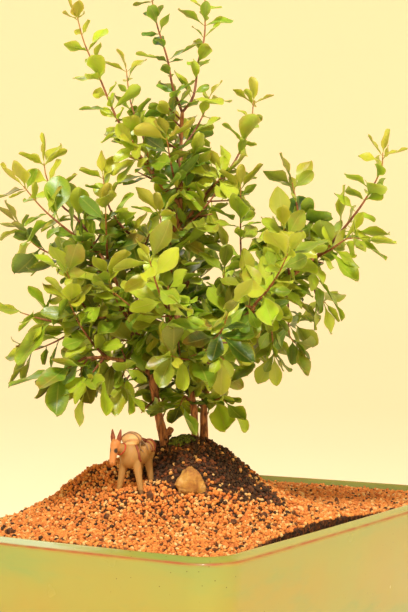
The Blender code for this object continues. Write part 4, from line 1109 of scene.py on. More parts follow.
def keep_on_points(mesh, name, values, kind="FLOAT"):
    """Keep a number, vector or colour on each point, for the material."""
    layer = mesh.attributes.new(name, kind, "POINT")
    key = {"FLOAT": "value", "FLOAT_VECTOR": "vector", "FLOAT_COLOR": "color"}[kind]
    layer.data.foreach_set(key, np.asarray(values, np.float32).ravel())


def evaluated_mesh(obj):
    """Return the mesh of an object with its modifiers, and remove the object."""
    graph = bpy.context.evaluated_depsgraph_get()
    mesh = bpy.data.meshes.new_from_object(obj.evaluated_get(graph))
    bpy.data.objects.remove(obj)
    return mesh


def grown_together(obj, voxel, passes):
    """Return an object's parts as one soft skin of small even faces, and remove the object."""
    whole = obj.modifiers.new("Grown together", "REMESH")
    whole.mode = "VOXEL"
    whole.voxel_size = voxel
    soft = obj.modifiers.new("Softened", "SMOOTH")
    soft.factor = 0.5
    soft.iterations = passes
    return evaluated_mesh(obj)


def join_rings(bm, loops):
    """Join rings of points by faces, and close the first ring."""
    for lower, upper in zip(loops, loops[1:]):
        for index in range(len(lower)):
            after = (index + 1) % len(lower)
            bm.faces.new((lower[index], lower[after], upper[after], upper[index]))
    bm.faces.new(loops[0])


def roughen(mesh, rise):
    """Move each point of a mesh along its normal by the rise at its place."""
    places = [vert.co.copy() for vert in mesh.vertices]
    normals = [vert.normal.copy() for vert in mesh.vertices]
    moved = [place + normal * rise(place) for place, normal in zip(places, normals)]
    mesh.vertices.foreach_set("co", [number for place in moved for number in place])
    mesh.update()


def node_tree_of(*nodes):
    """Return a search tree over some nodes of the frame, to set grains down on them."""
    points = []
    faces = []
    for node in nodes:
        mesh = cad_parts[node].data
        first = len(points)
        points += [vert.co.copy() for vert in mesh.vertices]
        faces += [[first + index for index in polygon.vertices] for polygon in mesh.polygons]
    return BVHTree.FromPolygons(points, faces)


def smooth_route(points, step):
    """Return points along a smooth curve through a route's own points."""
    line = [points[0] * 2 - points[1], *points, points[-1] * 2 - points[-2]]
    smooth = []
    for before, start, end, after in zip(line, line[1:], line[2:], line[3:]):
        count = max(1, round((end - start).length / step))
        for index in range(count):
            t = index / count
            smooth.append(0.5 * ((2 * start) + (end - before) * t
                                 + (2 * before - 5 * start + 4 * end - after) * t ** 2
                                 + (3 * start - before - 3 * end + after) * t ** 3))
    return smooth + [points[-1]]


def sweep(points, radii, sides, first=0):
    """Return the points and faces of a round tube along a route, closed at both ends."""
    corners = []
    side_way = (points[1] - points[0]).orthogonal().normalized()
    for index, point in enumerate(points):
        direction = (points[min(index + 1, len(points) - 1)] - points[max(index - 1, 0)]).normalized()
        side_way = (side_way - direction * side_way.dot(direction)).normalized()
        other = direction.cross(side_way)
        for turn in (2 * math.pi * side / sides for side in range(sides)):
            corners.append(point + radii[index] * (math.cos(turn) * side_way + math.sin(turn) * other))
    faces = [[first + side for side in reversed(range(sides))]]
    for row in range(len(points) - 1):
        for side in range(sides):
            after = (side + 1) % sides
            low = first + row * sides
            faces.append([low + side, low + after, low + sides + after, low + sides + side])
    faces.append([first + len(corners) - sides + side for side in range(sides)])
    return corners, faces


def blade_half(share):
    """Return half the width at a share of a leaf's length: a thin stalk, a wedge, then a round end."""
    inside = np.clip((share - BLADE_STALK) / (1 - BLADE_STALK), 0, 1)
    return np.maximum(0.5 * np.sin(np.pi * inside ** 1.34) ** (0.95 - 0.42 * inside), 0.035)


def blade_faces():
    """Return one leaf's faces: its top and its underside share the points along the edge."""
    rows, columns = len(BLADE_ROWS), len(BLADE_COLUMNS)
    top = np.arange(rows * columns).reshape(rows, columns)
    low = top.copy()
    inner = np.arange((rows - 2) * (columns - 2)).reshape(rows - 2, columns - 2)
    low[1:-1, 1:-1] = rows * columns + inner
    faces = []
    for row in range(rows - 1):
        for column in range(columns - 1):
            (a, b), (d, c) = top[row:row + 2, column:column + 2]
            faces.append([a, b, c, d])
            (a, b), (d, c) = low[row:row + 2, column:column + 2]
            faces.append([a, d, c, b])
    return np.array(faces)


BLADE_FACES = blade_faces()


def blade_points(leaves, rng):
    """Return each fine leaf's points from its CAD measures: its top, then the inside of its underside."""
    count = len(leaves)
    roots, alongs, looks = (np.array([leaf[index] for leaf in leaves]) for index in (0, 1, 2))
    length, droop, fold = (np.array([leaf[index] for leaf in leaves])[:, None, None] for index in (3, 4, 5))
    sides = np.cross(alongs, looks)
    sides /= np.linalg.norm(sides, axis=1)[:, None]
    normals = np.cross(sides, alongs)[:, None, None, :]
    share = BLADE_ROWS[None, :, None]
    across = BLADE_COLUMNS[None, None, :]
    slim = rng.uniform(*SLIM_DRAW, count)[:, None, None]
    half = blade_half(share) * length * LEAF_WIDTH_SHARE * slim
    blade = np.clip((share - BLADE_STALK) * 4, 0, 1)
    phase = rng.uniform(0, 2 * np.pi, count)[:, None, None]
    ripple = RIPPLE * length * np.sin(share * RIPPLE_TURN + phase) * across * np.abs(across) * blade
    depth = fold * half * (1 - np.abs(across) ** 1.4) * blade
    bend = rng.uniform(*BEND_DRAW, count)[:, None, None] * length * share ** 2
    twist = rng.uniform(*TWIST_DRAW, count)[:, None, None] * share
    side_step = across * half
    lift = ripple - depth - RECURVE * droop * length * share ** 2.3 + side_step * np.sin(twist)
    top = (roots[:, None, None, :] + alongs[:, None, None, :] * (length * share + 0 * across)[..., None]
           + sides[:, None, None, :] * (side_step * np.cos(twist) + bend)[..., None]
           + normals * lift[..., None])
    thick = BLADE_THICKNESS * (1 + MIDRIB_SWELL * (across == 0))
    low = (top - normals * (thick + 0 * share)[..., None])[:, 1:-1, 1:-1]
    return np.concatenate([top.reshape(count, -1, 3), low.reshape(count, -1, 3)], 1)


def blade_values(leaves, size, rng):
    """Return two vectors for each point: across, along and tone (with painted shade low in the crown), then
    newness, underside and blemish.
    """
    count = len(leaves)
    grid = len(BLADE_ROWS) * len(BLADE_COLUMNS)
    # Painted shade: leaves low in the crown get a darker tone.
    height = np.array([leaf[0].z for leaf in leaves])
    height = np.clip((height - POT_HEIGHT - 60 * MM) / (130 * MM), 0, 1)
    place = np.zeros((count, size, 3))
    age = np.zeros((count, size, 3))
    for points, rows, columns in ((slice(0, grid), BLADE_ROWS, BLADE_COLUMNS),
                                  (slice(grid, size), BLADE_ROWS[1:-1], BLADE_COLUMNS[1:-1])):
        place[:, points, 0] = np.tile(columns, len(rows))
        place[:, points, 1] = np.repeat(rows, len(columns))
    place[:, :, 2] = (rng.uniform(*TONE_DRAW, count) + PAINTED_SHADE_RISE * height)[:, None]
    age[:, :, 0] = np.array([leaf[6] for leaf in leaves])[:, None]
    age[:, grid:, 1] = 1
    age[:, :, 2] = (np.maximum(rng.uniform(*BLEMISH_DRAW, count), 0) * BLEMISH_MOST)[:, None]
    return place.reshape(-1, 3), age.reshape(-1, 3)


def blades(leaves, rng):
    """Return the points, faces and point values of fine leaves."""
    points = blade_points(leaves, rng)
    count, size = points.shape[:2]
    faces = BLADE_FACES[None] + np.arange(count)[:, None, None] * size
    return points.reshape(-1, 3), faces.reshape(-1, 4), *blade_values(leaves, size, rng)


def free_leaf(rng, base, stem, length, turn, spread=SPUR_SPREAD):
    """Return a finer leaf on one side of its shoot, its face turned up and out of the crown."""
    outward = Matrix.Rotation(turn, 3, stem) @ stem.orthogonal().normalized()
    angle = math.radians(rng.uniform(*spread))
    hang = max(0.0, min(1.0, (POT_HEIGHT + HANGING_BELOW - base.z) / HANG_SPAN))
    along = stem * math.cos(angle) + outward * math.sin(angle)
    along += UP * (rng.uniform(*FREE_LIFT_DRAW) - hang * rng.uniform(*HANG_DRAW))
    along.normalize()
    out = Vector((base.x - PLANT_FOOT.x, base.y - PLANT_FOOT.y, 0)) / OUT_REACH
    sky = UP * rng.uniform(*SKY_DRAW) + out + CROWN_FRONT * rng.uniform(*FRONT_DRAW)
    sky = (sky - along * sky.dot(along)).normalized()
    face = Matrix.Rotation(math.radians(rng.uniform(-ROLL_DRAW, ROLL_DRAW)), 3, along) @ sky
    return (base, along, face, length, rng.uniform(*FREE_DROOP_DRAW), rng.uniform(*FREE_FOLD_DRAW))


def leaf_middle(leaf):
    """Return the place that counts as a leaf's middle."""
    root, along, _, length = leaf[:4]
    return root + along * length * LEAF_CENTRE


def has_room(leaf, taken, apart):
    """Tell whether a finer leaf stays in the crown's box and clear of the ornament and the mound."""
    root, along, _, length = leaf[:4]
    middle = leaf_middle(leaf)
    tip = root + along * length - UP * leaf[4] * length
    low, high = CAD_BOX
    for point in (middle, tip):
        if any(point[axis] < low[axis] or point[axis] > high[axis] for axis in range(3)):
            return False
    if tip.z < soil_height(tip.x, tip.y) + OVER_GROUND:
        return False
    across, away = along_plant_axes(tip.x, tip.y)
    if tip.z < POT_HEIGHT + CLEAR_BELOW and abs(across) < CLEAR_REACH:
        return False
    (low_across, low_away, _), (high_across, high_away, high_up) = ANIMAL_ROOM
    if low_across < across / MM < high_across and low_away < away / MM < high_away:
        if tip.z < POT_HEIGHT + high_up * MM:
            return False
    return all((middle - other).length > apart for other in taken)


def finer_leaves(name, route, taken, spacing):
    """Return finer leaves between the main ones of one shoot."""
    rng = random.Random(FINE_SEED + sum(ord(letter) for letter in name))
    total = route_lengths(route)[-1]
    leaves = []
    distance = 3 * MM
    turn = rng.uniform(0, math.pi)
    while distance < total:
        base, stem = route_place(route, distance)
        thin = min(1.0, max(0.0, (base.z - HIGH_FROM) / HIGH_SPAN))
        for side in (0, math.pi):
            for _ in range(FREE_TRIES):
                newness = max(0.0, (distance / total - NEW_FROM) / (1 - NEW_FROM)) * rng.uniform(0.1, 0.9)
                length = rng.uniform(*FREE_LENGTHS)
                length *= (1 - FREE_HIGH_SHRINK * thin) * (1 - NEW_SHRINK * newness)
                swing = turn + side + rng.uniform(-0.5, 0.5)
                leaf = free_leaf(rng, base, stem, length, swing, FREE_SPREAD)
                if has_room(leaf, taken, LEAVES_APART):
                    leaves.append((*leaf, newness * (0.4 + 0.4 * thin)))
                    taken.append(leaf_middle(leaf))
                    break
        turn += math.pi / 2
        distance += 2 * spacing * rng.uniform(0.75, 1.25)
    return leaves


def spurs_of(name, points, taken):
    """Return the short spurs of one branch, each a tiny route with the leaves at its end."""
    rng = random.Random(FINE_SEED + sum(ord(letter) for letter in name))
    total = route_lengths(points)[-1]
    spurs = []
    distance = 6 * MM
    while distance < total:
        base, stem = route_place(points, distance)
        distance += SPUR_SPACING * rng.uniform(0.7, 1.3)
        if base.z - POT_HEIGHT < BARE_BELOW:
            continue
        outward = Matrix.Rotation(rng.uniform(0, 2 * math.pi), 3, stem) @ stem.orthogonal().normalized()
        way = (outward + stem * 0.4 + UP * rng.uniform(0, 0.6)).normalized()
        length = rng.uniform(*SPUR_LENGTHS)
        end = base + way * length
        leaves = []
        for _ in range(rng.choice((3, 4, 5, 6))):
            for _ in range(SPUR_TRIES):
                root = end - way * rng.uniform(0, 0.7) * length
                leaf = free_leaf(rng, root, way, rng.uniform(*FREE_LENGTHS), rng.uniform(0, 2 * math.pi))
                if has_room(leaf, taken, SPUR_LEAVES_APART):
                    leaves.append((*leaf, rng.choice((0.0, 0.0, 0.0, 0.25))))
                    taken.append(leaf_middle(leaf))
                    break
        if leaves:
            spurs.append(([base, base + way * length * 0.5, end], leaves))
    return spurs


def foliage_mesh(name, stems, leaves, seed):
    """Return one mesh of thin stems and fine leaves, with the values that their materials read."""
    corners = []
    faces = []
    places = []
    for route, radii in stems:
        fine = smooth_route(route, 4 * MM)
        radius = np.interp(np.linspace(0, 1, len(fine)), np.linspace(0, 1, len(radii)), radii).tolist()
        points, tube = sweep(fine, radius, FINE_STEM_SIDES, len(corners))
        corners += points
        faces += tube
        places += [(0, index / len(fine), 0) for index in range(len(fine)) for _ in range(FINE_STEM_SIDES)]
    stem_faces = len(faces)
    points, leaf_sides, place, age = blades(leaves, np.random.RandomState(seed))
    faces += (leaf_sides + len(corners)).tolist()
    place = np.concatenate([np.array(places), place])
    age = np.concatenate([np.zeros((len(corners), 3)), age])
    points = np.concatenate([np.array([tuple(corner) for corner in corners]), points])
    mesh = mesh_of(name, points.tolist(), faces)
    mesh.polygons.foreach_set("material_index", [1] * stem_faces + [0] * (len(faces) - stem_faces))
    mesh.set_sharp_from_angle(angle=math.radians(70))
    keep_on_points(mesh, "leaf_place", place, "FLOAT_VECTOR")
    keep_on_points(mesh, "leaf_age", age, "FLOAT_VECTOR")
    return mesh


def leaf_finishes(settings):
    """Return each kind of leaf's slot with its material."""
    finishes = []
    for name, deep in LEAF_KINDS.items():
        slot = f"leaf_{name}"
        material = leaf_material(slot, getattr(settings, name), shade(*deep), settings.young)
        finishes.append((slot, material))
    return finishes


class BonsaiOperator:
    """Common part of the operators."""

    bl_options = {"REGISTER", "UNDO"}

    def settings(self, name):
        """Return one group of the scene's settings."""
        return getattr(bpy.context.scene, name)


class OBJECT_OT_bonsai_pot(BonsaiOperator, bpy.types.Operator):
    """Make the glazed pot with its rolled rim, four feet and two drain holes"""

    bl_idname = "bonsai.pot"
    bl_label = "Glazed pot"

    def execute(self, context):
        bm = bmesh.new()
        brown = bm.verts.layers.float.new("arris")
        pooled = bm.verts.layers.float.new("pool")
        loops = []
        for inset, height, radius, arris, pool in POT_SECTION:
            loop = [bm.verts.new(point) for point in pot_ring(inset * MM, height * MM, radius * MM)]
            for vert in loop:
                vert[brown] = arris
                vert[pooled] = pool
            loops.append(loop)
        join_rings(bm, loops)
        bm.faces.new(loops[-1])
        for sign_x in (-1, 1):
            for sign_y in (-1, 1):
                self.add_foot(bm, sign_x, sign_y)
        bmesh.ops.recalc_face_normals(bm, faces=bm.faces[:])
        pot = linked_mesh("pot_glazed", bm)
        for sign in (-1, 1):
            self.drill(pot, sign)
        mesh = evaluated_mesh(pot)
        mesh.shade_smooth()
        mesh.set_sharp_from_angle(angle=math.radians(50))
        piece = add_piece("pot_glazed", mesh, "glaze", glaze_material(self.settings("bonsai_pot")))
        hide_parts("pot")
        return {"FINISHED"}

    def add_foot(self, bm, sign_x, sign_y):
        """Add one low foot with rounded edges, sunk into the floor of the pot."""
        height = FOOT_HEIGHT + 1.5 * MM
        made = bmesh.ops.create_cube(bm, size=1, matrix=Matrix.Diagonal((*FOOT_SIZE, height, 1)))["verts"]
        edges = list({edge for vert in made for edge in vert.link_edges})
        middle = (sign_x * FOOT_MIDDLE[0], sign_y * FOOT_MIDDLE[1], height / 2)
        bmesh.ops.translate(bm, verts=made, vec=middle)
        bmesh.ops.bevel(bm, geom=edges, offset=1.6 * MM, segments=3, affect="EDGES")

    def drill(self, pot, sign):
        """Cut one drain hole."""
        bm = bmesh.new()
        bmesh.ops.create_cone(bm, cap_ends=True, segments=40, radius1=DRAIN_RADIUS, radius2=DRAIN_RADIUS,
                              depth=FLOOR_TOP)
        bmesh.ops.translate(bm, verts=bm.verts, vec=(sign * DRAIN_SPACING / 2, 0, FLOOR_TOP * 0.75))
        drain = linked_mesh("drain", bm)
        cut = pot.modifiers.new("Drain", "BOOLEAN")
        cut.operation = "DIFFERENCE"
        cut.object = drain
        cut.use_self = True
        graph = bpy.context.evaluated_depsgraph_get()
        mesh = bpy.data.meshes.new_from_object(pot.evaluated_get(graph))
        pot.modifiers.clear()
        pot.data = mesh
        bpy.data.objects.remove(drain)


def grain_mesh(name, places, sizes, tones, seed, squash=(0.7, 1.1)):
    """Return one mesh of small angular grains, each turned and shaped at random."""
    bm = bmesh.new()
    bmesh.ops.create_icosphere(bm, subdivisions=1, radius=0.5)
    base = np.array([tuple(vert.co) for vert in bm.verts])
    plan = np.array([[vert.index for vert in face.verts] for face in bm.faces])
    bm.free()
    rng = np.random.RandomState(seed)
    count = len(places)
    turn = rng.normal(size=(count, 4))
    turn /= np.linalg.norm(turn, axis=1)[:, None]
    w, x, y, z = turn.T
    spin = np.stack([1 - 2 * (y * y + z * z), 2 * (x * y - z * w), 2 * (x * z + y * w),
                     2 * (x * y + z * w), 1 - 2 * (x * x + z * z), 2 * (y * z - x * w),
                     2 * (x * z - y * w), 2 * (y * z + x * w), 1 - 2 * (x * x + y * y)], 1)
    spin = spin.reshape(count, 3, 3)
    shape = base[None] * rng.uniform(0.8, 1.16, (count, len(base), 1)) * rng.uniform(*squash, (count, 1, 3))
    shape = np.einsum("nij,nkj->nki", spin, shape * np.asarray(sizes)[:, None, None])
    points = (shape + np.asarray(places)[:, None]).reshape(-1, 3)
    faces = (plan[None] + (np.arange(count) * len(base))[:, None, None]).reshape(-1, 3)
    mesh = mesh_of(name, points.tolist(), faces.tolist(), False)
    keep_on_points(mesh, "tone", np.repeat(tones, len(base)))
    return mesh


class OBJECT_OT_bonsai_gravel(BonsaiOperator, bpy.types.Operator):
    """Cover the mound with a layer of fired-clay grains, loose ones and shreds of bark"""

    bl_idname = "bonsai.gravel"
    bl_label = "Gravel"

    def execute(self, context):
        settings = self.settings("bonsai_gravel")
        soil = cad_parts["soil"]
        soil.data.materials.clear()
        soil.data.materials.append(soil_material(settings))
        ground = node_tree_of("soil", "trunk_and_branches")
        solids = node_tree_of("stone", "pack_animal")
        rng = random.Random(FINE_SEED)
        kinds = {name: [] for name in DUST}
        for x, y, lift in self.spots(settings, rng):
            place = self.set_down(ground, x, y)
            if place is None:
                continue
            size = min(GRAIN_LARGEST, max(GRAIN_SMALLEST, rng.gauss(*GRAIN_SIZE))) * MM
            centre = place + UP * (lift + size * GRAIN_RISE)
            near = solids.find_nearest(centre)
            if near[0] is not None and near[3] < size * GRAIN_CLEAR:
                continue
            kinds[self.kind(rng, x, y)].append((tuple(centre), size, rng.random()))
        for seed, (name, grains) in enumerate(kinds.items()):
            mesh = grain_mesh(name, *zip(*grains), seed)
            finish = grain_material(name, self.tones(settings)[name], DUST[name], settings)
            add_piece(name, mesh, "gravel", finish)
        self.scatter_chips(ground, rng)
        return {"FINISHED"}

    def tones(self, settings):
        """Return the colours that each kind of grain runs through."""
        orange, tan, dark = settings.orange, settings.tan, settings.dark
        return {
            "gravel_orange": ((0.0, shade(196, 98, 40)), (0.5, orange), (1.0, shade(240, 152, 74))),
            "gravel_tan": ((0.0, orange), (0.4, tan), (1.0, shade(246, 206, 140))),
            # The dark grains run to near-black: partly their own colour, partly painted shade.
            "gravel_dark": ((0.0, shade(18, 11, 8)), (0.7, dark), (1.0, shade(130, 64, 30))),
        }

    def spots(self, settings, rng):
        """Yield an even layer of places, then loose ones on top, thicker on the mound."""
        pitch = settings.pitch
        half_x = POT_LENGTH / 2 - INNER_TOP - LAYER_INSET
        half_y = POT_WIDTH / 2 - INNER_TOP - LAYER_INSET
        stray = GRAIN_SCATTER
        row = 0
        y = -half_y
        while y < half_y:
            x = -half_x + (row % 2) * pitch / 2
            while x < half_x:
                yield x + rng.uniform(-stray, stray) * pitch, y + rng.uniform(-stray, stray) * pitch, 0
                x += pitch
            y += pitch * ROW_SPACING
            row += 1
        for index in range(settings.loose):
            if index % 3:
                turn, reach = rng.uniform(0, 2 * math.pi), LOOSE_REACH * math.sqrt(rng.random())
                x, y = PLANT_FOOT.x + reach * math.cos(turn), PLANT_FOOT.y + reach * math.sin(turn)
            else:
                x, y = rng.uniform(-half_x, half_x), rng.uniform(-half_y, half_y)
            yield x, y, LOOSE_LIFT

    def set_down(self, ground, x, y):
        """Return the ground under a place inside the rim, clear of the stems."""
        half_x = POT_LENGTH / 2 - INNER_TOP - EDGE_INSET
        half_y = POT_WIDTH / 2 - INNER_TOP - EDGE_INSET
        corner = RIM_RADIUS - CORNER_INSET
        over_x, over_y = abs(x) - (half_x - corner), abs(y) - (half_y - corner)
        if abs(x) > half_x or abs(y) > half_y:
            return None
        if over_x > 0 and over_y > 0 and math.hypot(over_x, over_y) > corner:
            return None
        start = Vector((x, y, soil_height(x, y) + DROP_FROM))
        hit = ground.ray_cast(start, -UP, DROP_REACH)
        if hit[0] is None or hit[0].z < start.z - DROP_MOST:
            return None
        return hit[0]

    def kind(self, rng, x, y):
        """Choose a grain's colour: dark grains gather in a patch round the stems' feet, partly damp humus and
        partly painted shadow of the crown.
        """
        across, away = along_plant_axes(x, y)
        across, away = across - DAMP_SHADOW_MIDDLE[0], away - DAMP_SHADOW_MIDDLE[1]
        reach = math.hypot((across + DAMP_SHADOW_SLANT * away) / DAMP_SHADOW_REACH[0], away / DAMP_SHADOW_REACH[1])
        patch = noise.noise(Vector((x, y, 0)) * PATCH_SCALE)
        end, ragged, sharp = DAMP_SHADOW_EDGE
        damp_shadow = max(0.0, min(1.0, (end + ragged * patch - reach) * sharp))
        draw = rng.random()
        if draw < DARK_SHARE + DAMP_SHADOW_SHARE * damp_shadow + PATCH_SHARE * max(0, patch):
            return "gravel_dark"
        return "gravel_tan" if draw > TAN_FROM else "gravel_orange"

    def scatter_chips(self, ground, rng):
        """Lay shreds of bark on the gravel, a few of them where the front shows them."""
        spots = list(CHIPS_IN_FRONT)
        spots += [(rng.uniform(-120, 120), rng.uniform(-80, 110)) for _ in range(CHIP_COUNT)]
        places = []
        sizes = []
        for across, away in spots:
            x, y = on_mound(across * MM, away * MM)
            place = self.set_down(ground, x, y)
            if place is not None:
                places.append(tuple(place + UP * CHIP_LIFT * MM))
                sizes.append(rng.uniform(*CHIP_LENGTHS) * MM)
        mesh = grain_mesh("bark_chips", places, sizes, [0.5] * len(places), 9, CHIP_SHAPE)
        add_piece("bark_chips", mesh, "bark", chip_material())


class OBJECT_OT_bonsai_moss(BonsaiOperator, bpy.types.Operator):
    """Grow cushions of moss between the stems' feet"""

    bl_idname = "bonsai.moss"
    bl_label = "Moss"

    def execute(self, context):
        ground = node_tree_of("soil", "trunk_and_branches")
        rng = random.Random(FINE_SEED)
        places = []
        sizes = []
        for across, away, reach, count in MOSS_CUSHIONS:
            for _ in range(count):
                turn, out = rng.uniform(0, 2 * math.pi), reach * math.sqrt(rng.random())
                x, y = on_mound((across + out * math.cos(turn)) * MM, (away + out * math.sin(turn)) * MM)
                level = soil_height(x, y)
                hit = ground.ray_cast(Vector((x, y, level + MOSS_DROP[0])), -UP, 0.03)
                if hit[0] is not None and hit[0].z > level - MOSS_DROP[1]:
                    rise = 1 - (out / reach) ** 2
                    places.append(tuple(hit[0] + UP * (MOSS_LIFT[0] + MOSS_LIFT[1] * rise) * MM))
                    sizes.append(rng.uniform(*MOSS_SIZES) * MM)
        mesh = grain_mesh("moss", places, sizes, [0.5] * len(places), 4, MOSS_SHAPE)
        mesh.shade_smooth()
        add_piece("moss", mesh, "leaf_dark_green", moss_material())
        return {"FINISHED"}


class OBJECT_OT_bonsai_stone(BonsaiOperator, bpy.types.Operator):
    """Make the rough tan stone"""

    bl_idname = "bonsai.stone"
    bl_label = "Stone"

    def execute(self, context):
        bm = bmesh.new()
        bm.from_mesh(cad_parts["stone"].data)
        bmesh.ops.remove_doubles(bm, verts=bm.verts[:], dist=0.02 * MM)
        middle = (Vector(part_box("stone")[0]) + Vector(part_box("stone")[1])) / 2
        for (across, away, up), share in STONE_CUTS:
            way = (across * ACROSS + away * AWAY + up * UP).normalized()
            reach = max((vert.co - middle).dot(way) for vert in bm.verts)
            shape = bm.verts[:] + bm.edges[:] + bm.faces[:]
            bmesh.ops.bisect_plane(bm, geom=shape, plane_co=middle + way * reach * share, plane_no=way,
                                   clear_outer=True)
            bmesh.ops.holes_fill(bm, edges=bm.edges[:])
        mesh = grown_together(linked_mesh("stone_rough", bm), STONE_FACE, 1)
        roughen(mesh, self.stone_rise)
        mesh.shade_smooth()
        piece = add_piece("stone_rough", mesh, "stone", stone_material(self.settings("bonsai_ornaments")))
        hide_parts("stone")
        return {"FINISHED"}

    def stone_rise(self, place):
        """Return how far the stone stands out at a place: sharp ridges under a fine grain."""
        scale, crest, depth = STONE_RIDGES
        fine, height = STONE_GRAIN
        ridges = crest - abs(noise.noise(place * scale)) * depth
        return MM * (ridges + noise.noise(place * fine) * height)


class OBJECT_OT_bonsai_wood(BonsaiOperator, bpy.types.Operator):
    """Make the stems and branches as one piece of rough bark"""

    bl_idname = "bonsai.wood"
    bl_label = "Stems and branches"

    def execute(self, context):
        settings = self.settings("bonsai_wood")
        rng = random.Random(FINE_SEED)
        corners = []
        faces = []
        for points, start, end in WOOD_ROUTES.values():
            route = smooth_route(route_points(points), 3 * MM)
            radii = [radius * MM * rng.uniform(*GIRTH_DRAW) for radius in taper(len(route), start, end)]
            tube, sides = sweep(route, radii, BARK_SIDES, len(corners))
            corners += tube
            faces += sides
        top = soil_height(PLANT_FOOT.x, PLANT_FOOT.y)
        foot = Vector((PLANT_FOOT.x, PLANT_FOOT.y, 0))
        crown = [foot + UP * (top - depth * MM) for depth, _ in ROOT_CROWN]
        tube, sides = sweep(crown, [radius * MM for _, radius in ROOT_CROWN], ROOT_SIDES, len(corners))
        corners += tube
        faces += sides
        mesh = grown_together(linked("bark_wood", mesh_of("bark_wood", corners, faces)), BARK_FACE, 3)
        roughen(mesh, lambda place: self.bark_rise(place, settings.grain))
        mesh.shade_smooth()
        piece = add_piece("bark_wood", mesh, "bark", bark_material(settings))
        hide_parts("trunk_and_branches")
        return {"FINISHED"}

    def bark_rise(self, place, grain):
        """Return how far the bark stands out at a place: soft lumps under long ridges."""
        scale, height = BARK_SWELL
        around, along = BARK_GRAIN
        ridges = noise.noise(Vector((place.x * around, place.y * around, place.z * along)))
        return noise.noise(place * scale) * height * MM + grain * ridges


class OBJECT_OT_bonsai_shoots(BonsaiOperator, bpy.types.Operator):
    """Make every leafy shoot with its fine leaves, in place of its plain one"""

    bl_idname = "bonsai.shoots"
    bl_label = "Leafy shoots"

    def execute(self, context):
        settings = self.settings("bonsai_leaves")
        finishes = leaf_finishes(settings)
        skin = shoot_material(self.settings("bonsai_wood"))
        grown = grow_plant()
        taken = [leaf_middle(leaf) for _, leaves in grown.values() for leaf in leaves]
        for index, (name, (route, leaves)) in enumerate(grown.items()):
            total = route_lengths(route)[-1]
            main = []
            for base, along, face, length, droop, fold in leaves:
                share = min(1.0, (base - route[0]).length / total)
                newness = max(0.0, (share - 0.82) / 0.18) * (0.5 if base.z > HIGH_FROM else 0.2)
                slighter = 1 - HIGH_SHRINK * max(0.0, min(1.0, (base.z - HIGH_FROM) / HIGH_SPAN))
                main.append((base, along, face, length * slighter, droop, fold, newness))
            finer = finer_leaves(name, route, taken, settings.spacing)
            slot, finish = finishes[index % len(finishes)]
            _, direction = route_place(route, 0)
            rooted = [route[0] - direction * 1.8 * MM, *route[1:]]
            mesh = foliage_mesh(f"leafy_{name}", [(rooted, FINE_SHOOT_RADII)], main + finer, index)
            piece = add_piece(f"leafy_{name}", mesh, slot, finish, skin)
            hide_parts(f"shoot_{name}")
        self.grow_spurs(taken, finishes, skin)
        return {"FINISHED"}

    def grow_spurs(self, taken, finishes, skin):
        """Grow the short leafy spurs of the branches, one piece for each branch."""
        for index, (name, (points, _, _)) in enumerate(WOOD_ROUTES.items()):
            spurs = spurs_of(name, route_points(points), taken)
            if not spurs:
                continue
            stems = [(route, SPUR_RADII) for route, _ in spurs]
            leaves = [leaf for _, found in spurs for leaf in found]
            slot, finish = finishes[(index + 1) % len(finishes)]
            mesh = foliage_mesh(f"spurs_{name}", stems, leaves, 100 + index)
            add_piece(f"spurs_{name}", mesh, slot, finish, skin)


def add_ball(bm, middle, half_sizes):
    """Add one rounded mass of the ornament, in its own frame."""
    made = bmesh.ops.create_uvsphere(bm, u_segments=20, v_segments=14, radius=1)["verts"]
    for vert in made:
        side, tailward, up = (a + b * c for a, b, c in zip(middle, half_sizes, vert.co))
        vert.co = animal_place(side, tailward, up)


def add_rod(bm, start, end, radius_start, radius_end):
    """Add a tapered rod with round ends between two places, its radii in mm."""
    axis = end - start
    made = bmesh.ops.create_cone(bm, cap_ends=True, segments=14, radius1=radius_start * MM,
                                 radius2=radius_end * MM, depth=axis.length)["verts"]
    turn = UP.rotation_difference(axis).to_matrix().to_4x4()
    bmesh.ops.transform(bm, verts=made, matrix=Matrix.Translation((start + end) / 2) @ turn)
    for middle, radius in ((start, radius_start), (end, radius_end)):
        cap = bmesh.ops.create_uvsphere(bm, u_segments=12, v_segments=8, radius=radius * MM)["verts"]
        bmesh.ops.translate(bm, verts=cap, vec=middle)


def near_rod(point, start, end):
    """Return how far a point lies from the line between two places."""
    axis = end - start
    share = min(1.0, max(0.0, (point - start).dot(axis) / axis.length_squared))
    return (point - start - axis * share).length


STRAP_RADIUS = 0.45
TIE_RADIUS = 0.6
STRAP_RISE = 0.35  # how far a band's middle stands out of the skin, as a share of its radius
COLLAR_RADIUS = 4.4
COLLAR_SHARE = 0.62  # how far up the neck the collar lies


def strap_routes():
    """Return each strap's route in mm in the ornament's own frame, its radius in mm and its paint."""
    straps = []
    for tailward in (-7.2, -3.8, -0.4):
        girth = [(-9, tailward + 4, 24), (-8.6, tailward + 3, 28), (-6, tailward + 1, 33),
                 (-1, tailward, 38), (4, tailward + 1, 33), (7.6, tailward + 3, 28),
                 (9, tailward + 4, 24)]
        straps.append((girth, STRAP_RADIUS, "grey"))
    for shift in (0, 4, 8):
        right = [(2.5, shift - 1, 33), (6, shift + 1, 31), (8.6, shift + 3.4, 27), (9.2, shift + 5, 23)]
        left = [(-2.5, shift - 1, 33), (-6, shift + 1, 31), (-8.6, shift + 3.4, 27)]
        straps += [(right, TIE_RADIUS, "brown"), (left, TIE_RADIUS, "brown")]
    straps.append(([(4.4, -9, 28), (6.4, -9.8, 25), (7.2, -9.4, 21), (6.6, -8, 18)], 0.75, "brown"))
    for sign in (-1, 1):
        nostril = [(EAR_MIDDLE + sign * 1.1, -24.6, 18.4), (EAR_MIDDLE + sign * 1.2, -24.7, 18.0)]
        straps.append((nostril, 0.3, "dark"))
    return straps


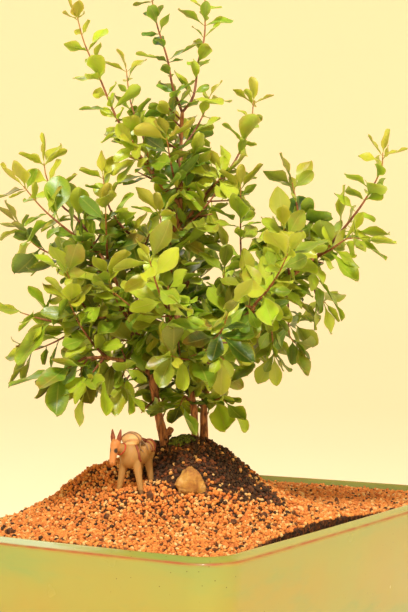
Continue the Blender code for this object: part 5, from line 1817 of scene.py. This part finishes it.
class OBJECT_OT_bonsai_animal(BonsaiOperator, bpy.types.Operator):
    """Make the painted clay pack animal with its halter, load and straps"""

    bl_idname = "bonsai.animal"
    bl_label = "Pack animal"

    def execute(self, context):
        settings = self.settings("bonsai_ornaments")
        body, ears = self.model()
        mesh = grown_together(body, CLAY_FACE, 4)
        mesh.shade_smooth()
        paints = [self.paint(vert.co, ears, settings) for vert in mesh.vertices]
        keep_on_points(mesh, "paint", paints, "FLOAT_COLOR")
        finish = paint_material()
        piece = add_piece("clay_animal", mesh, "clay", finish)
        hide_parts("pack_animal")
        skin = BVHTree.FromPolygons([vert.co for vert in mesh.vertices],
                                    [face.vertices for face in mesh.polygons])
        self.add_tack(skin, settings, finish)
        return {"FINISHED"}

    def model(self):
        """Return the animal's masses as one object, and the two ends of each ear."""
        bm = bmesh.new()
        for middle, half_sizes in (BARREL, *BODY_BALLS):
            add_ball(bm, middle, half_sizes)
        for hoof, hip in animal_legs():
            add_rod(bm, hoof, hip, LEG_RADII[0] * 0.92, LEG_RADII[1])
        for start, end, radius_start, radius_end in (NECK, HEAD, TAIL):
            add_rod(bm, animal_place(*start), animal_place(*end), radius_start, radius_end)
        ears = []
        for sign in (-1, 1):
            root, tip = (animal_place(EAR_MIDDLE + sign * side, tailward, up)
                         for side, tailward, up in (EAR_ROOT, EAR_TIP))
            widest = root.lerp(tip, 0.45)
            add_rod(bm, root, widest, EAR_RADII[0], EAR_RADII[0] * 1.15)
            add_rod(bm, widest, tip, EAR_RADII[0] * 1.15, EAR_RADII[1] * 1.2)
            ears.append((root, tip))
        return linked_mesh("clay_animal", bm), ears

    def paint(self, point, ears, settings):
        """Return the paint at a point: red-brown ears, pale load, tinted face, dark eyes and hooves."""
        coat, brown, cloth = (np.array(value) for value in (settings.coat, settings.ears, settings.cloth))
        colour = coat
        for root, tip in ears:
            if near_rod(point, root.lerp(tip, 0.25), tip) < 1.5 * MM * ANIMAL_SCALE:
                return brown
        head_start, head_end = animal_place(*HEAD[0]), animal_place(*HEAD[1])
        if near_rod(point, head_start, head_end) < 3.3 * MM:
            colour = 0.55 * coat + 0.45 * np.array(shade(226, 128, 66))
        eye = min((point - animal_place(EAR_MIDDLE + side, -21, 25.4)).length for side in (-2.2, 2.2)) / MM
        dark_eye = max(0.0, min(1.0, (1.8 - eye) * 1.6))
        colour = (1 - dark_eye) * colour + dark_eye * np.array(shade(48, 28, 20))
        load_middle, load_half = BODY_BALLS[4]
        load = animal_place(*load_middle)
        if (point - load).length < load_half[0] * 1.15 * MM and point.z > load.z - 2.4 * MM:
            stripe = math.sin((point.z - load.z) / MM * 1.3 + (point.x + point.y) / MM * 0.5)
            colour = cloth if stripe < 0.75 else 0.5 * cloth + 0.5 * np.array(shade(150, 96, 66))
        for hoof, hip in animal_legs():
            if near_rod(point, hoof, hip) < 2.4 * MM and (point - hoof).length < (HOOF_SUNK + 1.8 * MM):
                colour = 0.4 * coat + 0.6 * np.array(shade(92, 52, 30))
        return colour

    def add_tack(self, skin, settings, finish):
        """Add the collar and the straps as thin raised bands that lie on the animal's skin."""
        paint = {"brown": tuple(settings.ears), "dark": shade(44, 22, 14), "red": shade(186, 58, 30),
                 "grey": shade(150, 116, 84)}
        corners = []
        faces = []
        paints = []

        def lay(line, radius, colour):
            """Press a line of places onto the skin and sweep a band along it."""
            line = [skin.find_nearest(point) for point in line]
            line = [place + normal * radius * STRAP_RISE * MM for place, normal, _, _ in line]
            points, tube = sweep(line, [radius * MM] * len(line), 6, len(corners))
            corners.extend(points)
            faces.extend(tube)
            paints.extend([paint[colour]] * len(points))

        neck_start, neck_end = animal_place(*NECK[0]), animal_place(*NECK[1])
        way = (neck_end - neck_start).normalized()
        side_way = way.orthogonal().normalized()
        middle = neck_start.lerp(neck_end, COLLAR_SHARE)
        turns = [Matrix.Rotation(math.radians(turn), 3, way) @ side_way for turn in range(0, 361, 15)]
        lay([middle + turn * (COLLAR_RADIUS * MM) for turn in turns], STRAP_RADIUS, "red")
        for route, radius, colour in strap_routes():
            lay(smooth_route([animal_place(*point) for point in route], 0.8 * MM), radius, colour)
        mesh = mesh_of("animal_tack", corners, faces)
        keep_on_points(mesh, "paint", paints, "FLOAT_COLOR")
        add_piece("animal_tack", mesh, "clay", finish)


class OBJECT_OT_bonsai_stage(BonsaiOperator, bpy.types.Operator):
    """Make the pale floor and backdrop, the soft lights and the camera"""

    bl_idname = "bonsai.stage"
    bl_label = "Stage"

    def execute(self, context):
        settings = self.settings("bonsai_stage")
        self.make_floor(settings)
        for name, (across, away, up), size, colour in LIGHTS:
            power = settings.key if name == "key" else settings.fill
            self.add_light(name, across * ACROSS + away * AWAY + up * UP, size, power, colour)
        world = bpy.data.worlds.new("studio")
        world.use_nodes = True
        sky = world.node_tree.nodes["Background"].inputs
        sky["Color"].default_value = SKY_COLOUR
        sky["Strength"].default_value = SKY_STRENGTH
        context.scene.world = world
        context.scene.view_settings.view_transform = "Standard"
        self.add_camera()
        return {"FINISHED"}

    def make_floor(self, settings):
        """Turn a flat floor that sweeps up into a wall all round."""
        bm = bmesh.new()
        loops = []
        turns = [2 * math.pi * step / FLOOR_SIDES for step in range(FLOOR_SIDES)]
        for radius, height in FLOOR_PROFILE:
            loops.append([bm.verts.new((radius * math.cos(turn), radius * math.sin(turn), height))
                          for turn in turns])
        join_rings(bm, loops)
        floor = linked_mesh("studio_floor", bm)
        floor.data.shade_smooth()
        floor.data.materials.append(floor_material(settings))

    def add_light(self, name, offset, size, power, colour):
        """Add a square soft light that faces the plant from an offset."""
        light = bpy.data.lights.new(name, "AREA")
        light.size = size
        light.energy = power
        light.color = colour
        lamp = linked(name, light)
        lamp.location = LIGHT_TARGET + offset
        lamp.rotation_euler = (-offset).to_track_quat("-Z", "Y").to_euler()

    def add_camera(self):
        """Add the camera where the photograph was taken from."""
        data = bpy.data.cameras.new("camera")
        data.lens = CAMERA_LENS
        data.sensor_width = 36
        data.sensor_fit = "AUTO"
        data.clip_start = 0.01
        camera = linked("camera", data)
        turn, tilt = math.radians(CAMERA_TURN), math.radians(CAMERA_TILT)
        way = Vector((math.sin(turn) * math.cos(tilt), math.cos(turn) * math.cos(tilt), math.sin(tilt)))
        camera.location = CAMERA_PLACE
        camera.rotation_euler = way.to_track_quat("-Z", "Y").to_euler()
        bpy.context.scene.camera = camera


OPERATORS = (OBJECT_OT_bonsai_pot, OBJECT_OT_bonsai_gravel, OBJECT_OT_bonsai_moss, OBJECT_OT_bonsai_stone,
             OBJECT_OT_bonsai_wood, OBJECT_OT_bonsai_shoots, OBJECT_OT_bonsai_animal, OBJECT_OT_bonsai_stage)
SETTINGS = {
    "bonsai_pot": BonsaiPotSettings,
    "bonsai_gravel": BonsaiGravelSettings,
    "bonsai_wood": BonsaiWoodSettings,
    "bonsai_leaves": BonsaiLeafSettings,
    "bonsai_ornaments": BonsaiOrnamentSettings,
    "bonsai_stage": BonsaiStageSettings,
}


class VIEW3D_PT_bonsai(bpy.types.Panel):
    """Lists the bonsai's pieces and their settings"""

    bl_idname = "VIEW3D_PT_bonsai"
    bl_label = "Pomegranate bonsai"
    bl_space_type = "VIEW_3D"
    bl_region_type = "UI"
    bl_category = "Bonsai"

    def draw(self, context):
        """List the operators, then each group of settings."""
        layout = self.layout
        for operator in OPERATORS:
            layout.operator(operator.bl_idname)
        for name, group in SETTINGS.items():
            box = layout.box()
            settings = getattr(context.scene, name)
            for key in group.__annotations__:
                box.prop(settings, key)


def register():
    for group in SETTINGS.values():
        bpy.utils.register_class(group)
    for operator in OPERATORS:
        bpy.utils.register_class(operator)
    bpy.utils.register_class(VIEW3D_PT_bonsai)
    for name, group in SETTINGS.items():
        setattr(bpy.types.Scene, name, PointerProperty(type=group))


def unregister():
    for name in SETTINGS:
        delattr(bpy.types.Scene, name)
    bpy.utils.unregister_class(VIEW3D_PT_bonsai)
    for cls in reversed((*SETTINGS.values(), *OPERATORS)):
        bpy.utils.unregister_class(cls)


def main():
    """Make every piece in order."""
    register()
    bpy.ops.bonsai.pot()
    bpy.ops.bonsai.gravel()
    bpy.ops.bonsai.moss()
    bpy.ops.bonsai.stone()
    bpy.ops.bonsai.wood()
    bpy.ops.bonsai.shoots()
    bpy.ops.bonsai.animal()
    bpy.ops.bonsai.stage()
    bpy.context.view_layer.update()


if __name__ == "__main__":
    main()
